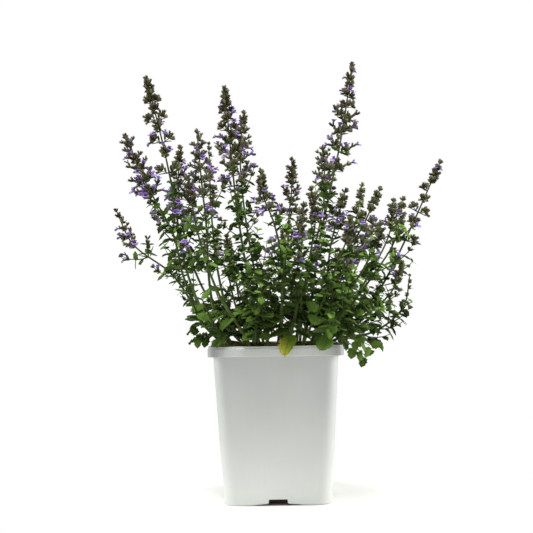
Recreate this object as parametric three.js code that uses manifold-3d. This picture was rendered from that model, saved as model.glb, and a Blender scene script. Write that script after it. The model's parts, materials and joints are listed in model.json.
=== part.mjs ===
// A catmint in bloom in a square plastic nursery pot.
//
// Millimetres, +Z up, the front of the pot towards -Y. The origin is the middle of the flat
// underside that the pot stands on. The pot, its soil and every stem are separate solids. A stem
// grew as one piece with its leaves, calyces and flowers, so those are fused into it.
import * as THREE from "three";
import { mergeVertices } from "three/addons/utils/BufferGeometryUtils.js";
import Module from "manifold-3d";

// --- Driving dimensions: the pot ---------------------------------------------------------------
const POT_HEIGHT = 178;
const WALL = 1.5;
const FLOOR_TOP = 4.5;
const RIM = { width: 152, corner: 9, height: 11.5, bevel: 0.6, lip: 2.4, lipStep: 0.8 };
const SHOULDER = { width: 141, corner: 14 };
const FOOT = { width: 122, corner: 16, bevel: 1.5 };
const LEDGE_FALL = 0.4; // no ledge is quite level
const CORNER_STEPS = 3;
// The foot edge rises in a shallow arch on each side, with a drainage notch in its middle.
const ARCH = { width: 66, rise: 2.6, depth: 13, steps: 4 };
const NOTCH = { bottom: 24, top: 20.5, height: 7, depth: 16 };
const DRAIN = { radius: 5, place: 34, sides: 6 };
const CUT_PAST = 3; // how far a cut starts outside what it cuts

// --- Driving dimensions: the soil --------------------------------------------------------------
const GAP = 0.3; // between neighbours that touch
const SOIL_TOP = 174;
const SOIL_RINGS = [0.82, 0.55, 0.27];
const ROOT_DEPTH = 14; // from the surface down to the foot of a stem

// --- Driving dimensions: the plant -------------------------------------------------------------
// Each stem is given by where it leaves the soil (x, y) and by points along it up to its tip.
// whorls: how many whorls of calyces it carries, gap: the space between the first two below the
// tip, bloom: the share of its half-whorls with open flowers, size: the scale of its whorls,
// pairs: its pairs of leaves, turn: the direction in degrees of its topmost organ.
const FLOWERING = [
  { name: "tall_left", soil: [-52, 20], whorls: 11, gap: 5.5, bloom: 0.55, pairs: 3, turn: 10,
    path: [[-84, 25, 212], [-107, 28, 268], [-122, 31, 360], [-134, 32, 422], [-153, 34, 502]] },
  { name: "tall_right", soil: [33, 4], whorls: 10, gap: 7.5, bloom: 0.6, pairs: 3, turn: 35,
    path: [[44, 6, 230], [54, 9, 295], [68, 14, 356], [84, 17, 425], [99, 22, 513]] },
  { name: "tall_middle", soil: [-14, 2], whorls: 11, gap: 5.5, bloom: 0.35, pairs: 3, turn: 20,
    path: [[-21, 2, 205], [-34, 6, 273], [-44, 8, 345], [-50, 10, 410], [-56, 12, 484]] },
  { name: "far_right", soil: [56, 13], whorls: 9, gap: 7, bloom: 0.12, pairs: 4, turn: 5,
    path: [[89, 10, 206], [118, 7, 230], [135, 5, 256], [161, 3, 307], [199, 0, 388]] },
  { name: "left", soil: [-54, -7], whorls: 7, gap: 8, bloom: 0.75, pairs: 3, turn: 50,
    path: [[-88, -15, 217], [-106, -21, 258], [-117, -27, 308], [-145, -33, 363], [-168, -40, 418]] },
  { name: "far_left", soil: [-61, 5], whorls: 6, gap: 7, bloom: 0.55, pairs: 2, turn: 0, size: 0.8,
    path: [[-87, 5, 203], [-105, 6, 238], [-124, 8, 264], [-170, 12, 300], [-189, 14, 339]] },
  { name: "slim_left", soil: [-38, -27], whorls: 7, gap: 8, bloom: 0.6, pairs: 3, turn: 70, size: 0.9,
    path: [[-67, -38, 212], [-74, -46, 248], [-76, -58, 314], [-80, -63, 360], [-84, -70, 417]] },
  { name: "green_left", soil: [-34, 30], whorls: 7, gap: 6.5, bloom: 0.15, pairs: 2, turn: 15, size: 0.7,
    path: [[-58, 38, 219], [-69, 44, 262], [-77, 53, 335], [-80, 64, 427]] },
  { name: "middle_behind", soil: [-9, 28], whorls: 8, gap: 7, bloom: 0.5, pairs: 3, turn: 60,
    path: [[-17, 42, 219], [-25, 55, 269], [-36, 70, 340], [-41, 80, 412], [-36, 88, 470]] },
  { name: "middle_front", soil: [3, -24], whorls: 6, gap: 6, bloom: 0.55, pairs: 2, turn: 30,
    path: [[9, -45, 229], [9, -62, 274], [0, -78, 316], [-11, -88, 345], [-12, -92, 367]] },
  { name: "centre", soil: [17, 23], whorls: 8, gap: 6.5, bloom: 0.3, pairs: 3, turn: 80, size: 0.85,
    path: [[22, 45, 231], [18, 62, 275], [20, 80, 335], [25, 90, 381], [25, 96, 410]] },
  { name: "right_behind", soil: [30, 38], whorls: 6, gap: 8, bloom: 0.4, pairs: 2, turn: 25,
    path: [[37, 62, 231], [52, 84, 295], [66, 100, 360], [68, 114, 427]] },
  { name: "right_middle", soil: [47, -7], whorls: 5, gap: 8, bloom: 0.5, pairs: 2, turn: 55,
    path: [[58, -18, 229], [66, -30, 292], [74, -38, 322], [82, -46, 350]] },
  { name: "lean_right", soil: [49, -22], whorls: 7, gap: 7, bloom: 0.35, pairs: 2, turn: 12,
    path: [[65, -31, 229], [80, -42, 278], [99, -50, 307], [120, -60, 350]] },
  { name: "brown_right", soil: [44, 42], whorls: 5, gap: 8, bloom: 0.25, pairs: 2, turn: 40,
    path: [[70, 70, 230], [95, 98, 296], [110, 114, 340], [118, 126, 378]] },
  { name: "right_upper", soil: [54, 27], whorls: 5, gap: 7, bloom: 0.4, pairs: 2, turn: 65,
    path: [[92, 38, 223], [125, 48, 272], [145, 55, 312], [151, 62, 350]] },
  { name: "right_lower", soil: [57, -11], whorls: 4, gap: 8, bloom: 0.6, pairs: 2, turn: 30,
    path: [[90, -15, 223], [122, -18, 265], [142, -21, 298], [151, -24, 342]] },
  { name: "right_short", soil: [58, -27], whorls: 4, gap: 6, bloom: 0.3, pairs: 2, turn: 0, size: 0.8,
    path: [[99, -32, 207], [125, -35, 226], [140, -38, 246], [146, -41, 268]] },
  { name: "arching_right", soil: [63, 1], whorls: 5, gap: 6.5, bloom: 0, pairs: 2, turn: 20, size: 0.55,
    path: [[80, -1, 184], [110, -6, 188], [135, -12, 202], [152, -15, 222], [158, -18, 254]] },
  { name: "front_centre", soil: [24, -37], whorls: 5, gap: 7, bloom: 0.5, pairs: 2, turn: 75,
    path: [[31, -55, 229], [41, -78, 283], [46, -92, 319], [42, -102, 346]] },
  { name: "front_right", soil: [44, -45], whorls: 4, gap: 7, bloom: 0.6, pairs: 2, turn: 45,
    path: [[77, -66, 228], [100, -88, 265], [112, -102, 290], [115, -110, 306]] },
  { name: "front_inner", soil: [31, -55], whorls: 4, gap: 7, bloom: 0.5, pairs: 2, turn: 10,
    path: [[54, -80, 228], [69, -106, 270], [78, -118, 292], [81, -128, 310]] },
  { name: "front_middle", soil: [7, -49], whorls: 5, gap: 7, bloom: 0.6, pairs: 2, turn: 60,
    path: [[8, -78, 229], [14, -106, 279], [27, -116, 302], [32, -124, 326]] },
  { name: "front_left", soil: [-29, -49], whorls: 5, gap: 7, bloom: 0.7, pairs: 2, turn: 35,
    path: [[-59, -72, 230], [-75, -90, 273], [-85, -106, 318], [-90, -118, 357]] },
  { name: "left_behind", soil: [-38, 48], whorls: 7, gap: 7.5, bloom: 0.5, pairs: 3, turn: 20,
    path: [[-76, 58, 222], [-102, 72, 273], [-118, 86, 335], [-122, 96, 397], [-120, 102, 428]] },
  { name: "back_right", soil: [45, 58], whorls: 4, gap: 7, bloom: 0.4, pairs: 2, turn: 70,
    path: [[84, 90, 230], [111, 122, 277], [123, 136, 304], [131, 146, 324]] },
  { name: "back_middle", soil: [8, 56], whorls: 5, gap: 7, bloom: 0.5, pairs: 2, turn: 5,
    path: [[10, 90, 228], [14, 118, 272], [12, 134, 318]] },
  { name: "back_left", soil: [-20, 57], whorls: 5, gap: 7, bloom: 0.45, pairs: 2, turn: 50,
    path: [[-40, 88, 226], [-55, 116, 272], [-62, 132, 314]] },
];
const LEAFY = [
  { name: "front", soil: [15, -60], pairs: 3, turn: 20, thick: 1.45,
    path: [[18, -68, 195], [23, -73, 214], [25, -80, 236], [20, -88, 256]] },
  { name: "front_left", soil: [-48, -44], pairs: 3, turn: 40, path: [[-66, -70, 200], [-80, -90, 232]] },
  { name: "left", soil: [-62, -26], pairs: 3, turn: 0, path: [[-84, -36, 205], [-99, -50, 242]] },
  { name: "left_back", soil: [-58, 38], pairs: 3, turn: 60, path: [[-87, 58, 205], [-104, 72, 242]] },
  { name: "front_middle", soil: [-8, -60], pairs: 3, turn: 30, path: [[-12, -84, 205], [-18, -102, 240]] },
  { name: "front_right", soil: [50, -60], pairs: 3, turn: 75, path: [[64, -82, 198], [80, -98, 226]] },
  { name: "right", soil: [64, -36], pairs: 3, turn: 20, path: [[88, -50, 196], [112, -64, 218]] },
  { name: "right_back", soil: [64, 38], pairs: 3, turn: 50, path: [[92, 62, 205], [116, 78, 238]] },
  { name: "back", soil: [26, 64], pairs: 3, turn: 10, path: [[30, 92, 205], [38, 114, 242]] },
  { name: "back_left", soil: [-44, 63], pairs: 3, turn: 35, path: [[-62, 90, 208], [-78, 110, 246]] },
  { name: "inner_left", soil: [-24, -16], pairs: 3, turn: 65, path: [[-44, -22, 218], [-54, -28, 262]] },
  { name: "inner_back", soil: [-22, 40], pairs: 3, turn: 25, path: [[-42, 52, 222], [-50, 60, 268]] },
  { name: "inner_right", soil: [40, -32], pairs: 3, turn: 80, path: [[60, -46, 216], [80, -60, 262]] },
  { name: "inner_front", soil: [-9, -38], pairs: 3, turn: 10, path: [[-16, -58, 222], [-14, -78, 270]] },
  { name: "inner_middle", soil: [46, 8], pairs: 3, turn: 45, path: [[78, 16, 232], [98, 24, 276]] },
];
// The big yellowing leaf low on the front leafy stem hangs out over the rim of the pot.
const RIM_LEAF = {
  stem: "leafy_stem_front", above: 21, side: 1, turn: -44, lift: -44, length: 32, width: 21,
};

const STEM = { foot: 1.9, tip: 0.75, point: 1, steps: 72 };
const BURIED = [0, 18]; // rings round the foot of a stem, from its end up
const PORT = 2.4; // the height of the stretch of stem that an organ grows out of
// Lower whorls are wider apart, larger and on longer stalks, and their calyces are longer.
const WHORL = { spread: 1.16, cymesFrom: 4, openShare: 0.25, lift: 24 };
const HUB = { shortest: 2.2, growth: 0.18, longest: 3.4 };
const STALK = { shortest: 0.5, growth: 1.2, longest: 9 };
const CALYX = { shortest: 5.6, growth: 0.45, longest: 8.4 };
const WHORL_VARIES = { lift: 8, turn: 8, aim: 0.13, reach: 0.13 };
const COROLLA = { length: 5, lobe: 3, throat: 2 };
// Balls that stand for a calyx and its flower: along, as a share of the calyx or past it, and radius.
const CALYX_BALLS = [[0.4, 1.2], [0.68, 1]];
const TIP_BALL = [0.95, 0.6];
const FLOWER_BALLS = [[-1.5, 1.7], [1.5, 2.2], [4.2, 2.9]];
const LEAF = { longest: 26, shortest: 15, breadth: 0.78, stalk: 0.8, thickness: 1.1, upright: 0.6 };
const LEAF_VARIES = { scale: 0.14, width: 0.08, lift: 12, turn: 12, fold: 2, droop: 1.5 };
// Lobes on each side, and the shares of the blade where its midrib has a corner.
const LARGE = { from: 26, lobes: 3, petiole: 5, ribs: [0, 0.45] };
const SMALL = { lobes: 2, petiole: 1.5, ribs: [0.38] };
// The highest pair's distance below the whorls or the tip, and the lowest's above the foot.
const PAIRS = { flowering: { below: 8, above: 58 }, leafy: { below: 3, above: 38 } };
const LINE = { step: 3, clearance: 0.4 }; // balls along a stem
// What is tried, in this order, to bend an organ clear of its neighbours.
const LEEWAY = {
  whorl: { turns: [0, 14, -14], lifts: [0, 14, -14, 28], scales: [1, 0.85, 0.7, 0.55] },
  leaf: { turns: [0, 24, -24, 44, -44], lifts: [0, 20, -20, 38], scales: [1, 0.8, 0.65] },
};

const wasm = await Module();
wasm.setup();

// --- Vectors and solids ------------------------------------------------------------------------
const radians = THREE.MathUtils.degToRad;
const vec = (x, y, z) => new THREE.Vector3(x, y, z);
const mix = (from, to, share) => from + (to - from) * share;

// A point given along, across and up in an organ's own frame.
function spot(frame, along, across, up) {
  return frame.root
    .clone()
    .addScaledVector(frame.along, along)
    .addScaledVector(frame.across, across)
    .addScaledVector(frame.up, up);
}

function geometryOf(points, faces) {
  const positions = new Float32Array(points.flatMap((point) => point.toArray()));
  const geometry = new THREE.BufferGeometry();
  geometry.setAttribute("position", new THREE.BufferAttribute(positions, 3));
  geometry.setIndex(faces.flat());
  return geometry;
}

function solidOf(geometry) {
  const bare = geometry.clone();
  bare.deleteAttribute("normal");
  bare.deleteAttribute("uv");
  const merged = mergeVertices(bare, 1e-4);
  const vertProperties = merged.attributes.position.array;
  const triVerts = new Uint32Array(merged.index.array);
  return new wasm.Manifold(new wasm.Mesh({ numProp: 3, vertProperties, triVerts }));
}

function meshOf(name, solid, { colour, roughness }) {
  const { vertProperties, triVerts } = solid.getMesh();
  const geometry = new THREE.BufferGeometry();
  geometry.setAttribute("position", new THREE.BufferAttribute(vertProperties, 3));
  geometry.setIndex(new THREE.BufferAttribute(triVerts, 1));
  geometry.computeVertexNormals();
  const material = new THREE.MeshStandardMaterial({ color: colour, roughness, metalness: 0 });
  const mesh = new THREE.Mesh(geometry, material);
  mesh.name = name;
  return mesh;
}

// A closed skin over rings of points, which all run anticlockwise seen from the last ring.
function loft(rings) {
  const count = rings[0].length;
  const faces = [];
  for (let ring = 0; ring + 1 < rings.length; ring += 1) {
    for (let i = 0; i < count; i += 1) {
      const here = ring * count + i;
      const next = ring * count + ((i + 1) % count);
      faces.push([here, next, next + count], [here, next + count, here + count]);
    }
  }
  const last = (rings.length - 1) * count;
  for (let i = 1; i + 1 < count; i += 1) {
    faces.push([0, i + 1, i], [last, last + i, last + i + 1]);
  }
  return geometryOf(rings.flat(), faces);
}

// --- The pot -----------------------------------------------------------------------------------
function squareRing(width, corner, z) {
  const ring = [];
  const middle = width / 2 - corner;
  for (const [signX, signY, start] of [[1, 1, 0], [-1, 1, 90], [-1, -1, 180], [1, -1, 270]]) {
    for (let step = 0; step <= CORNER_STEPS; step += 1) {
      const angle = radians(start + (90 * step) / CORNER_STEPS);
      const x = signX * middle + corner * Math.cos(angle);
      const y = signY * middle + corner * Math.sin(angle);
      ring.push(vec(x, y, z));
    }
  }
  return ring;
}

const SHOULDER_Z = POT_HEIGHT - RIM.height;

// A ring round the tapered body, set in from its outer face.
function bodyRing(z, inset) {
  const share = z / SHOULDER_Z;
  const width = mix(FOOT.width, SHOULDER.width, share);
  const corner = mix(FOOT.corner, SHOULDER.corner, share);
  return squareRing(width - 2 * inset, corner - inset, z);
}

function rimRing(z, inset) {
  return squareRing(RIM.width - 2 * inset, RIM.corner - inset, z);
}

// A shape drawn on the front of the foot becomes a cut that runs inwards from there.
function footCut(shape, depth) {
  const cut = new THREE.ExtrudeGeometry(shape, { depth: depth + CUT_PAST, bevelEnabled: false });
  return cut.rotateX(Math.PI / 2).translate(0, depth - FOOT.width / 2, 0);
}

function archShape() {
  const half = ARCH.width / 2;
  const points = [new THREE.Vector2(-half, -CUT_PAST), new THREE.Vector2(half, -CUT_PAST)];
  for (let step = ARCH.steps; step >= 0; step -= 1) {
    const share = step / ARCH.steps;
    points.push(new THREE.Vector2(mix(-half, half, share), ARCH.rise * Math.sin(Math.PI * share)));
  }
  return new THREE.Shape(points);
}

function notchShape() {
  const { bottom, top, height } = NOTCH;
  const outline = [[-bottom, -CUT_PAST], [bottom, -CUT_PAST], [top, height], [-top, height]];
  return new THREE.Shape(outline.map(([width, z]) => new THREE.Vector2(width / 2, z)));
}

function buildPot() {
  const rings = [
    bodyRing(0, FOOT.bevel),
    bodyRing(FOOT.bevel, 0),
    bodyRing(SHOULDER_Z - LEDGE_FALL, 0),
    rimRing(SHOULDER_Z, RIM.bevel),
    rimRing(SHOULDER_Z + RIM.bevel, 0),
    rimRing(POT_HEIGHT - RIM.lip, 0),
    rimRing(POT_HEIGHT - RIM.lip + LEDGE_FALL, RIM.lipStep),
    rimRing(POT_HEIGHT, RIM.lipStep),
    rimRing(POT_HEIGHT, WALL + RIM.lipStep),
    rimRing(SHOULDER_Z + WALL, WALL + RIM.lipStep),
    bodyRing(SHOULDER_Z, WALL).map((point) => point.setZ(SHOULDER_Z + WALL - LEDGE_FALL)),
    bodyRing(FLOOR_TOP, WALL),
  ];
  let pot = solidOf(loft(rings));
  for (let side = 0; side < 4; side += 1) {
    for (const cut of [footCut(archShape(), ARCH.depth), footCut(notchShape(), NOTCH.depth)]) {
      pot = pot.subtract(solidOf(cut.rotateZ((side * Math.PI) / 2)));
    }
    const length = FLOOR_TOP + 2 * CUT_PAST;
    const drain = new THREE.CylinderGeometry(DRAIN.radius, DRAIN.radius, length, DRAIN.sides);
    drain.rotateX(Math.PI / 2).translate(DRAIN.place, DRAIN.place, FLOOR_TOP / 2);
    pot = pot.subtract(solidOf(drain.rotateZ((side * Math.PI) / 2)));
  }
  return pot;
}

// --- The soil ----------------------------------------------------------------------------------
// The surface is lumpy, and a little higher in the middle of the pot.
function soilHeight(x, y) {
  const lumps = 1.3 * Math.sin(x / 9 + 1.3) * Math.cos(y / 11) + 1.1 * Math.sin((x + y) / 6.5);
  const crown = 2.2 * (1 - Math.max(Math.abs(x), Math.abs(y)) / 75);
  return SOIL_TOP + lumps + crown;
}

function buildSoil(spines) {
  const inset = WALL + GAP;
  const brim = rimRing(SHOULDER_Z + WALL + GAP, inset + RIM.lipStep);
  const surface = [1, ...SOIL_RINGS].map((share) =>
    brim.map(({ x, y }) => vec(x * share, y * share, soilHeight(x * share, y * share))),
  );
  const rings = [
    bodyRing(FLOOR_TOP + GAP, inset),
    bodyRing(SHOULDER_Z, inset).map((point) => point.setZ(SHOULDER_Z + WALL + GAP - LEDGE_FALL)),
    brim,
    ...surface,
  ];
  let soil = solidOf(loft(rings));
  for (const spine of spines) soil = soil.subtract(solidOf(holeFor(spine)));
  return soil;
}

// --- Stems -------------------------------------------------------------------------------------
// The line that a stem grows along, measured in millimetres from its buried foot.
class Spine {
  constructor({ soil: [x, y], path, turn, thick = 1 }) {
    const foot = vec(x, y, SOIL_TOP - ROOT_DEPTH);
    const start = vec(x, y, SOIL_TOP + 3);
    const knots = [foot, start, ...path.map((point) => vec(...point))];
    this.samples = new THREE.CatmullRomCurve3(knots).getPoints(STEM.steps);
    this.reach = [0];
    for (let i = 1; i < this.samples.length; i += 1) {
      this.reach.push(this.reach[i - 1] + this.samples[i].distanceTo(this.samples[i - 1]));
    }
    this.length = this.reach.at(-1);
    this.turn = turn;
    this.thick = thick;
  }

  at(distance) {
    const last = this.samples.length - 2;
    let i = 0;
    while (i < last && this.reach[i + 1] < distance) i += 1;
    const tangent = this.samples[i + 1].clone().sub(this.samples[i]).normalize();
    const point = this.samples[i].clone().addScaledVector(tangent, distance - this.reach[i]);
    return { point, tangent };
  }

  radius(distance) {
    return this.thick * mix(STEM.foot, STEM.tip, Math.min(distance / this.length, 1));
  }
}

// Two directions across a stem, square to each other and to it.
function acrossStem(tangent) {
  const side = vec(0, 1, 0).cross(tangent).normalize().negate();
  return { side, front: tangent.clone().cross(side) };
}

// A ring of four corners round a stem. Its sides face the way that the stem's organs grow.
function stemRing(spine, distance, extra = 0) {
  const { point, tangent } = spine.at(distance);
  const { side, front } = acrossStem(tangent);
  const radius = spine.radius(distance) + extra;
  return [-45, 45, 135, 225].map((degrees) => {
    const angle = radians(spine.turn + degrees);
    const out = side.clone().multiplyScalar(Math.cos(angle));
    return point.clone().addScaledVector(out.addScaledVector(front, Math.sin(angle)), radius);
  });
}

// The plain hole that a stem stands in.
function holeFor(spine) {
  const distances = BURIED.map((distance, i) => (i ? distance : -GAP));
  return loft(distances.map((distance) => stemRing(spine, distance, GAP * Math.SQRT2)));
}

// The frame of an organ that leaves a stem: its direction, and the two directions square to it.
function organFrame(spine, distance, turn, lift, upright) {
  const { point, tangent } = spine.at(distance);
  const riser = tangent.clone().addScaledVector(vec(0, 0, 1), upright).normalize();
  const { side, front } = acrossStem(riser);
  const out = side
    .multiplyScalar(Math.cos(radians(turn)))
    .addScaledVector(front, Math.sin(radians(turn)));
  const along = out
    .clone()
    .multiplyScalar(Math.cos(radians(lift)))
    .addScaledVector(riser, Math.sin(radians(lift)));
  const across = riser.clone().cross(out);
  return { root: point, along, across, up: along.clone().cross(across) };
}

// --- The skin of a stem ------------------------------------------------------------------------
// A stem and all that it bears are one closed skin. Each organ grows out of a loop of corners in
// that skin, which runs anticlockwise seen from outside.
class Skin {
  constructor() {
    this.points = [];
    this.faces = [];
  }

  add(point) {
    return this.points.push(point) - 1;
  }

  // Triangles from each edge of a loop to one point.
  cone(loop, tip) {
    loop.forEach((corner, i) => this.faces.push([corner, loop[(i + 1) % loop.length], tip]));
  }

  // Triangles between two loops with the same number of corners.
  band(loop, next) {
    loop.forEach((corner, i) => {
      const j = (i + 1) % loop.length;
      this.faces.push([corner, loop[j], next[j]], [corner, next[j], next[i]]);
    });
  }

}

// The triangles from a loop to one with its corners between the loop's, in turn round both.
function between(loop, next) {
  return loop.flatMap((corner, i) => {
    const j = (i + 1) % loop.length;
    return [[corner, loop[j], next[i]], [loop[j], next[j], next[i]]];
  });
}

// A pointed calyx on a triangle of the skin, or one with an open flower.
function growCalyx(skin, triangle, calyx) {
  if (calyx.open) growCorolla(skin, triangle, calyx);
  else skin.cone(triangle, skin.add(calyx.tip));
}

function ringOfThree(frame, along, radius) {
  return [90, 210, 330].map((degrees) => {
    const angle = radians(degrees);
    return spot(frame, along, radius * Math.cos(angle), radius * Math.sin(angle));
  });
}

// The turn of a ring's three corners that makes the shortest edges between a triangle and it.
function matched(skin, triangle, ring) {
  const turned = [0, 1, 2].map((shift) => [0, 1, 2].map((i) => ring[(i + shift) % 3]));
  const edges = (corners) =>
    triangle.reduce((sum, index, i) => {
      const corner = skin.points[index];
      return sum + corner.distanceTo(corners[i]) + corner.distanceTo(corners[(i + 1) % 3]);
    }, 0);
  return turned.reduce((best, corners) => (edges(corners) < edges(best) ? corners : best));
}

// A flower that flares from its calyx into an upper lip and two lower lobes round its throat.
function growCorolla(skin, triangle, { frame, length }) {
  const lips = ringOfThree(frame, length + COROLLA.length, COROLLA.lobe);
  const loop = matched(skin, triangle, lips).map((point) => skin.add(point));
  skin.band(triangle, loop);
  skin.cone(loop, skin.add(spot(frame, length + COROLLA.throat, 0, 0)));
}

// Faces that bear a calyx grow it, and the others stay plain.
function growFaces(skin, faces, calyces) {
  faces.forEach((face, i) => {
    if (calyces[i]) growCalyx(skin, face, calyces[i]);
    else skin.faces.push(face);
  });
}

// A low hub right on the stem, with a calyx on each of its four faces.
function growTuft(skin, loop, { frame, hub, calyces }) {
  const front = skin.add(spot(frame, hub, 0, 0));
  const faces = loop.map((corner, i) => [corner, loop[(i + 1) % 4], front]);
  growFaces(skin, faces, calyces);
}

// A hub on a short stalk, with calyces on its front faces and on its upper rear ones.
function growCyme(skin, loop, { frame, stalk, hub, calyces }) {
  const ring = [[0, -hub], [hub, 0], [0, hub], [-hub, 0]].map(([across, up]) =>
    skin.add(spot(frame, stalk, across, up)),
  );
  const front = skin.add(spot(frame, stalk + hub, 0, 0));
  const faces = ring.map((corner, i) => [corner, ring[(i + 1) % 4], front]);
  const rear = between(loop, ring);
  const borne = [3, 5]; // the upper two
  growFaces(skin, [...faces, ...borne.map((i) => rear[i])], calyces);
  skin.faces.push(...rear.filter((_, i) => !borne.includes(i)));
}

// --- Leaves ------------------------------------------------------------------------------------
// Half the width of a blade at a share of its length: broad near its base, pointed at its tip.
function bladeHalf(share) {
  return Math.sin(Math.PI * share ** 0.62) ** 0.85;
}

// One side of a blade's scalloped edge, from its petiole to its tip.
function scallops({ lobes, width }) {
  const edge = [];
  for (let i = 0; i < 2 * lobes; i += 1) {
    const outer = i % 2 === 0;
    const share = (i + (outer ? 0.75 : 0.6)) / (2 * lobes + 0.35);
    const half = (width / 2) * bladeHalf(share) * (outer ? 1.06 : 0.88);
    edge.push({ share, half, wave: outer ? 0.35 : -0.35 });
  }
  return edge;
}

// A blade folded along its midrib, which droops towards its tip. Each half is split into the
// same triangles above and below.
function growLeaf(skin, loop, leaf) {
  const { frame, petiole, length, width, fold, droop } = leaf;
  const blade = length - petiole;
  const add = (along, across, up) =>
    skin.add(spot(frame, along, across, up - droop * (along / length) ** 2));
  const rib = (along) => [add(along, 0, LEAF.thickness / 2), add(along, 0, -LEAF.thickness / 2)];
  const ribs = leaf.ribs.map((share) => rib(petiole + blade * share));
  const tip = add(length, 0, 0);
  const edges = [1, -1].map((hand) => {
    const outline = ribs.length > 1 ? [add(petiole, hand * LEAF.stalk, 0)] : [];
    for (const { share, half, wave } of scallops(leaf)) {
      outline.push(add(petiole + blade * share, hand * half, fold * (half / width) + wave));
    }
    return [...outline, tip];
  });
  skin.faces.push(...between(loop, [ribs[0][1], edges[0][0], ribs[0][0], edges[1][0]]));
  for (const [hand, edge] of edges.entries()) {
    for (const [a, b, c] of bladeTriangles(ribs, edge)) {
      const top = [a, b, c].map((one) => one[0] ?? one);
      const under = [a, b, c].map((one) => one[1] ?? one);
      skin.faces.push(hand ? top : top.reverse(), hand ? under.reverse() : under);
    }
  }
}

// Triangles from the midrib to one edge. A corner on the midrib is a pair, above and below.
function bladeTriangles([first, last = first], edge) {
  const triangles = edge.slice(1).map((corner, i) => [i ? last : first, edge[i], corner]);
  if (last !== first) triangles.push([first, edge[1], last]);
  return triangles;
}

// --- Growing clear of each other ---------------------------------------------------------------
// Small balls stand for an organ where it is tested against other stems and their organs.
// The outer ones are also kept off the stem that bears them.
const ball = (point, radius) => ({ point, radius });
const outer = (point, radius) => ({ point, radius, outer: true });

class Crowd {
  constructor() {
    this.cells = new Map();
    this.size = 10;
  }

  key(point, shift) {
    return point.toArray().map((value, i) => Math.floor(value / this.size) + shift[i]).join();
  }

  near(point) {
    const found = [];
    for (const i of [-1, 0, 1]) {
      for (const j of [-1, 0, 1]) {
        for (const k of [-1, 0, 1]) found.push(...(this.cells.get(this.key(point, [i, j, k])) ?? []));
      }
    }
    return found;
  }

  // A stem's own line is open to the inner balls of its organs, so it is marked as its own.
  add(balls, line = null) {
    for (const { point, radius } of balls) {
      const key = this.key(point, [0, 0, 0]);
      if (!this.cells.has(key)) this.cells.set(key, []);
      this.cells.get(key).push({ line, point, radius });
    }
  }

  isClear(balls, line) {
    const apart = (one, other) =>
      (other.line === line && !one.outer) ||
      other.point.distanceToSquared(one.point) > (other.radius + one.radius) ** 2;
    return balls.every(
      (one) => clearOfPot(one.point, one.radius) && this.near(one.point).every((other) => apart(one, other)),
    );
  }
}

// Organs stay above the soil and the rim, unless they hang outside the pot.
function clearOfPot({ x, y, z }, radius) {
  const half = RIM.width / 2 + GAP + radius;
  return z > POT_HEIGHT + radius || Math.abs(x) > half || Math.abs(y) > half;
}

// An organ is turned or lifted, then made smaller, until it is clear. One that never is isn't grown.
function settle(crowd, line, make, leeway) {
  for (const scale of leeway.scales) {
    for (const lift of leeway.lifts) {
      for (const turn of leeway.turns) {
        const organ = make(turn, lift, scale);
        if (crowd.isClear(organ.balls, line)) {
          crowd.add(organ.balls);
          return organ;
        }
      }
    }
  }
  return null;
}

// A seeded draw between 0 and 1, the same on every run.
function drawsFrom(seed) {
  let state = seed;
  return () => {
    state = (Math.imul(state, 1664525) + 1013904223) >>> 0;
    return state / 4294967296;
  };
}

const about = (draw, spread) => (draw() * 2 - 1) * spread;

// --- Growing a whorl ---------------------------------------------------------------------------
// Where calyces point, along, across and up: on a tuft's faces, and on a cyme's four front faces
// and two upper rear ones. The head at a stem's tip points along the stem.
const AIM = {
  head: [[0.8, 0.5, -0.5], [0.8, 0.5, 0.5], [0.8, -0.5, 0.5], [0.8, -0.5, -0.5]],
  tuft: [[0.85, 0, -0.45], [0.75, 0.66, 0.05], [0.75, 0, 0.55], [0.75, -0.66, 0.05]],
  cyme: [
    [0.75, 0.5, -0.45], [0.75, 0.5, 0.5], [0.75, -0.5, 0.5], [0.75, -0.5, -0.45],
    [0.05, 0.55, 0.8], [0.05, -0.55, 0.8],
  ],
};

function kindOf(level) {
  if (level === 0) return "head";
  return level < WHORL.cymesFrom ? "tuft" : "cyme";
}

// What one half of a whorl is, drawn before it is placed.
function drawHalf(draw, level, { bloom, size = 1 }) {
  const kind = kindOf(level);
  const grown = ({ shortest, growth, longest }) => size * Math.min(shortest + growth * level, longest);
  const stalk = kind === "cyme" ? grown(STALK) : 0;
  const lift = kind === "head" ? 90 : WHORL.lift + about(draw, WHORL_VARIES.lift);
  const turn = about(draw, WHORL_VARIES.turn);
  const calyces = AIM[kind].map((aim) => ({
    aim: aim.map((value) => value + about(draw, WHORL_VARIES.aim)),
    reach: 1 + about(draw, WHORL_VARIES.reach),
    open: draw() < bloom * (level > 0 ? WHORL.openShare : 0),
  }));
  return { kind, hub: grown(HUB), stalk, length: grown(CALYX), lift, turn, calyces };
}

function placeHalf(spine, distance, turn, shape) {
  return (turned, lifted, scale) => {
    const lift = shape.kind === "head" ? shape.lift : shape.lift + lifted;
    const frame = organFrame(spine, distance, turn + shape.turn + turned, lift, 0);
    const [hub, stalk] = [shape.hub * scale, shape.stalk * scale];
    const middle = spot(frame, stalk, 0, 0);
    const riser = spine.at(distance).tangent;
    const calyces = shape.calyces.map(({ aim, reach, open }) => {
      const along = spot({ ...frame, root: vec(0, 0, 0) }, ...aim).normalize();
      const across = riser.clone().cross(along).normalize();
      const axes = { root: middle, along, across, up: along.clone().cross(across) };
      const length = shape.length * reach * scale;
      return { frame: axes, length, open, tip: spot(axes, length, 0, 0) };
    });
    const organ = { kind: shape.kind, frame, hub, stalk, calyces };
    return { ...organ, balls: halfBalls(organ) };
  };
}

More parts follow.
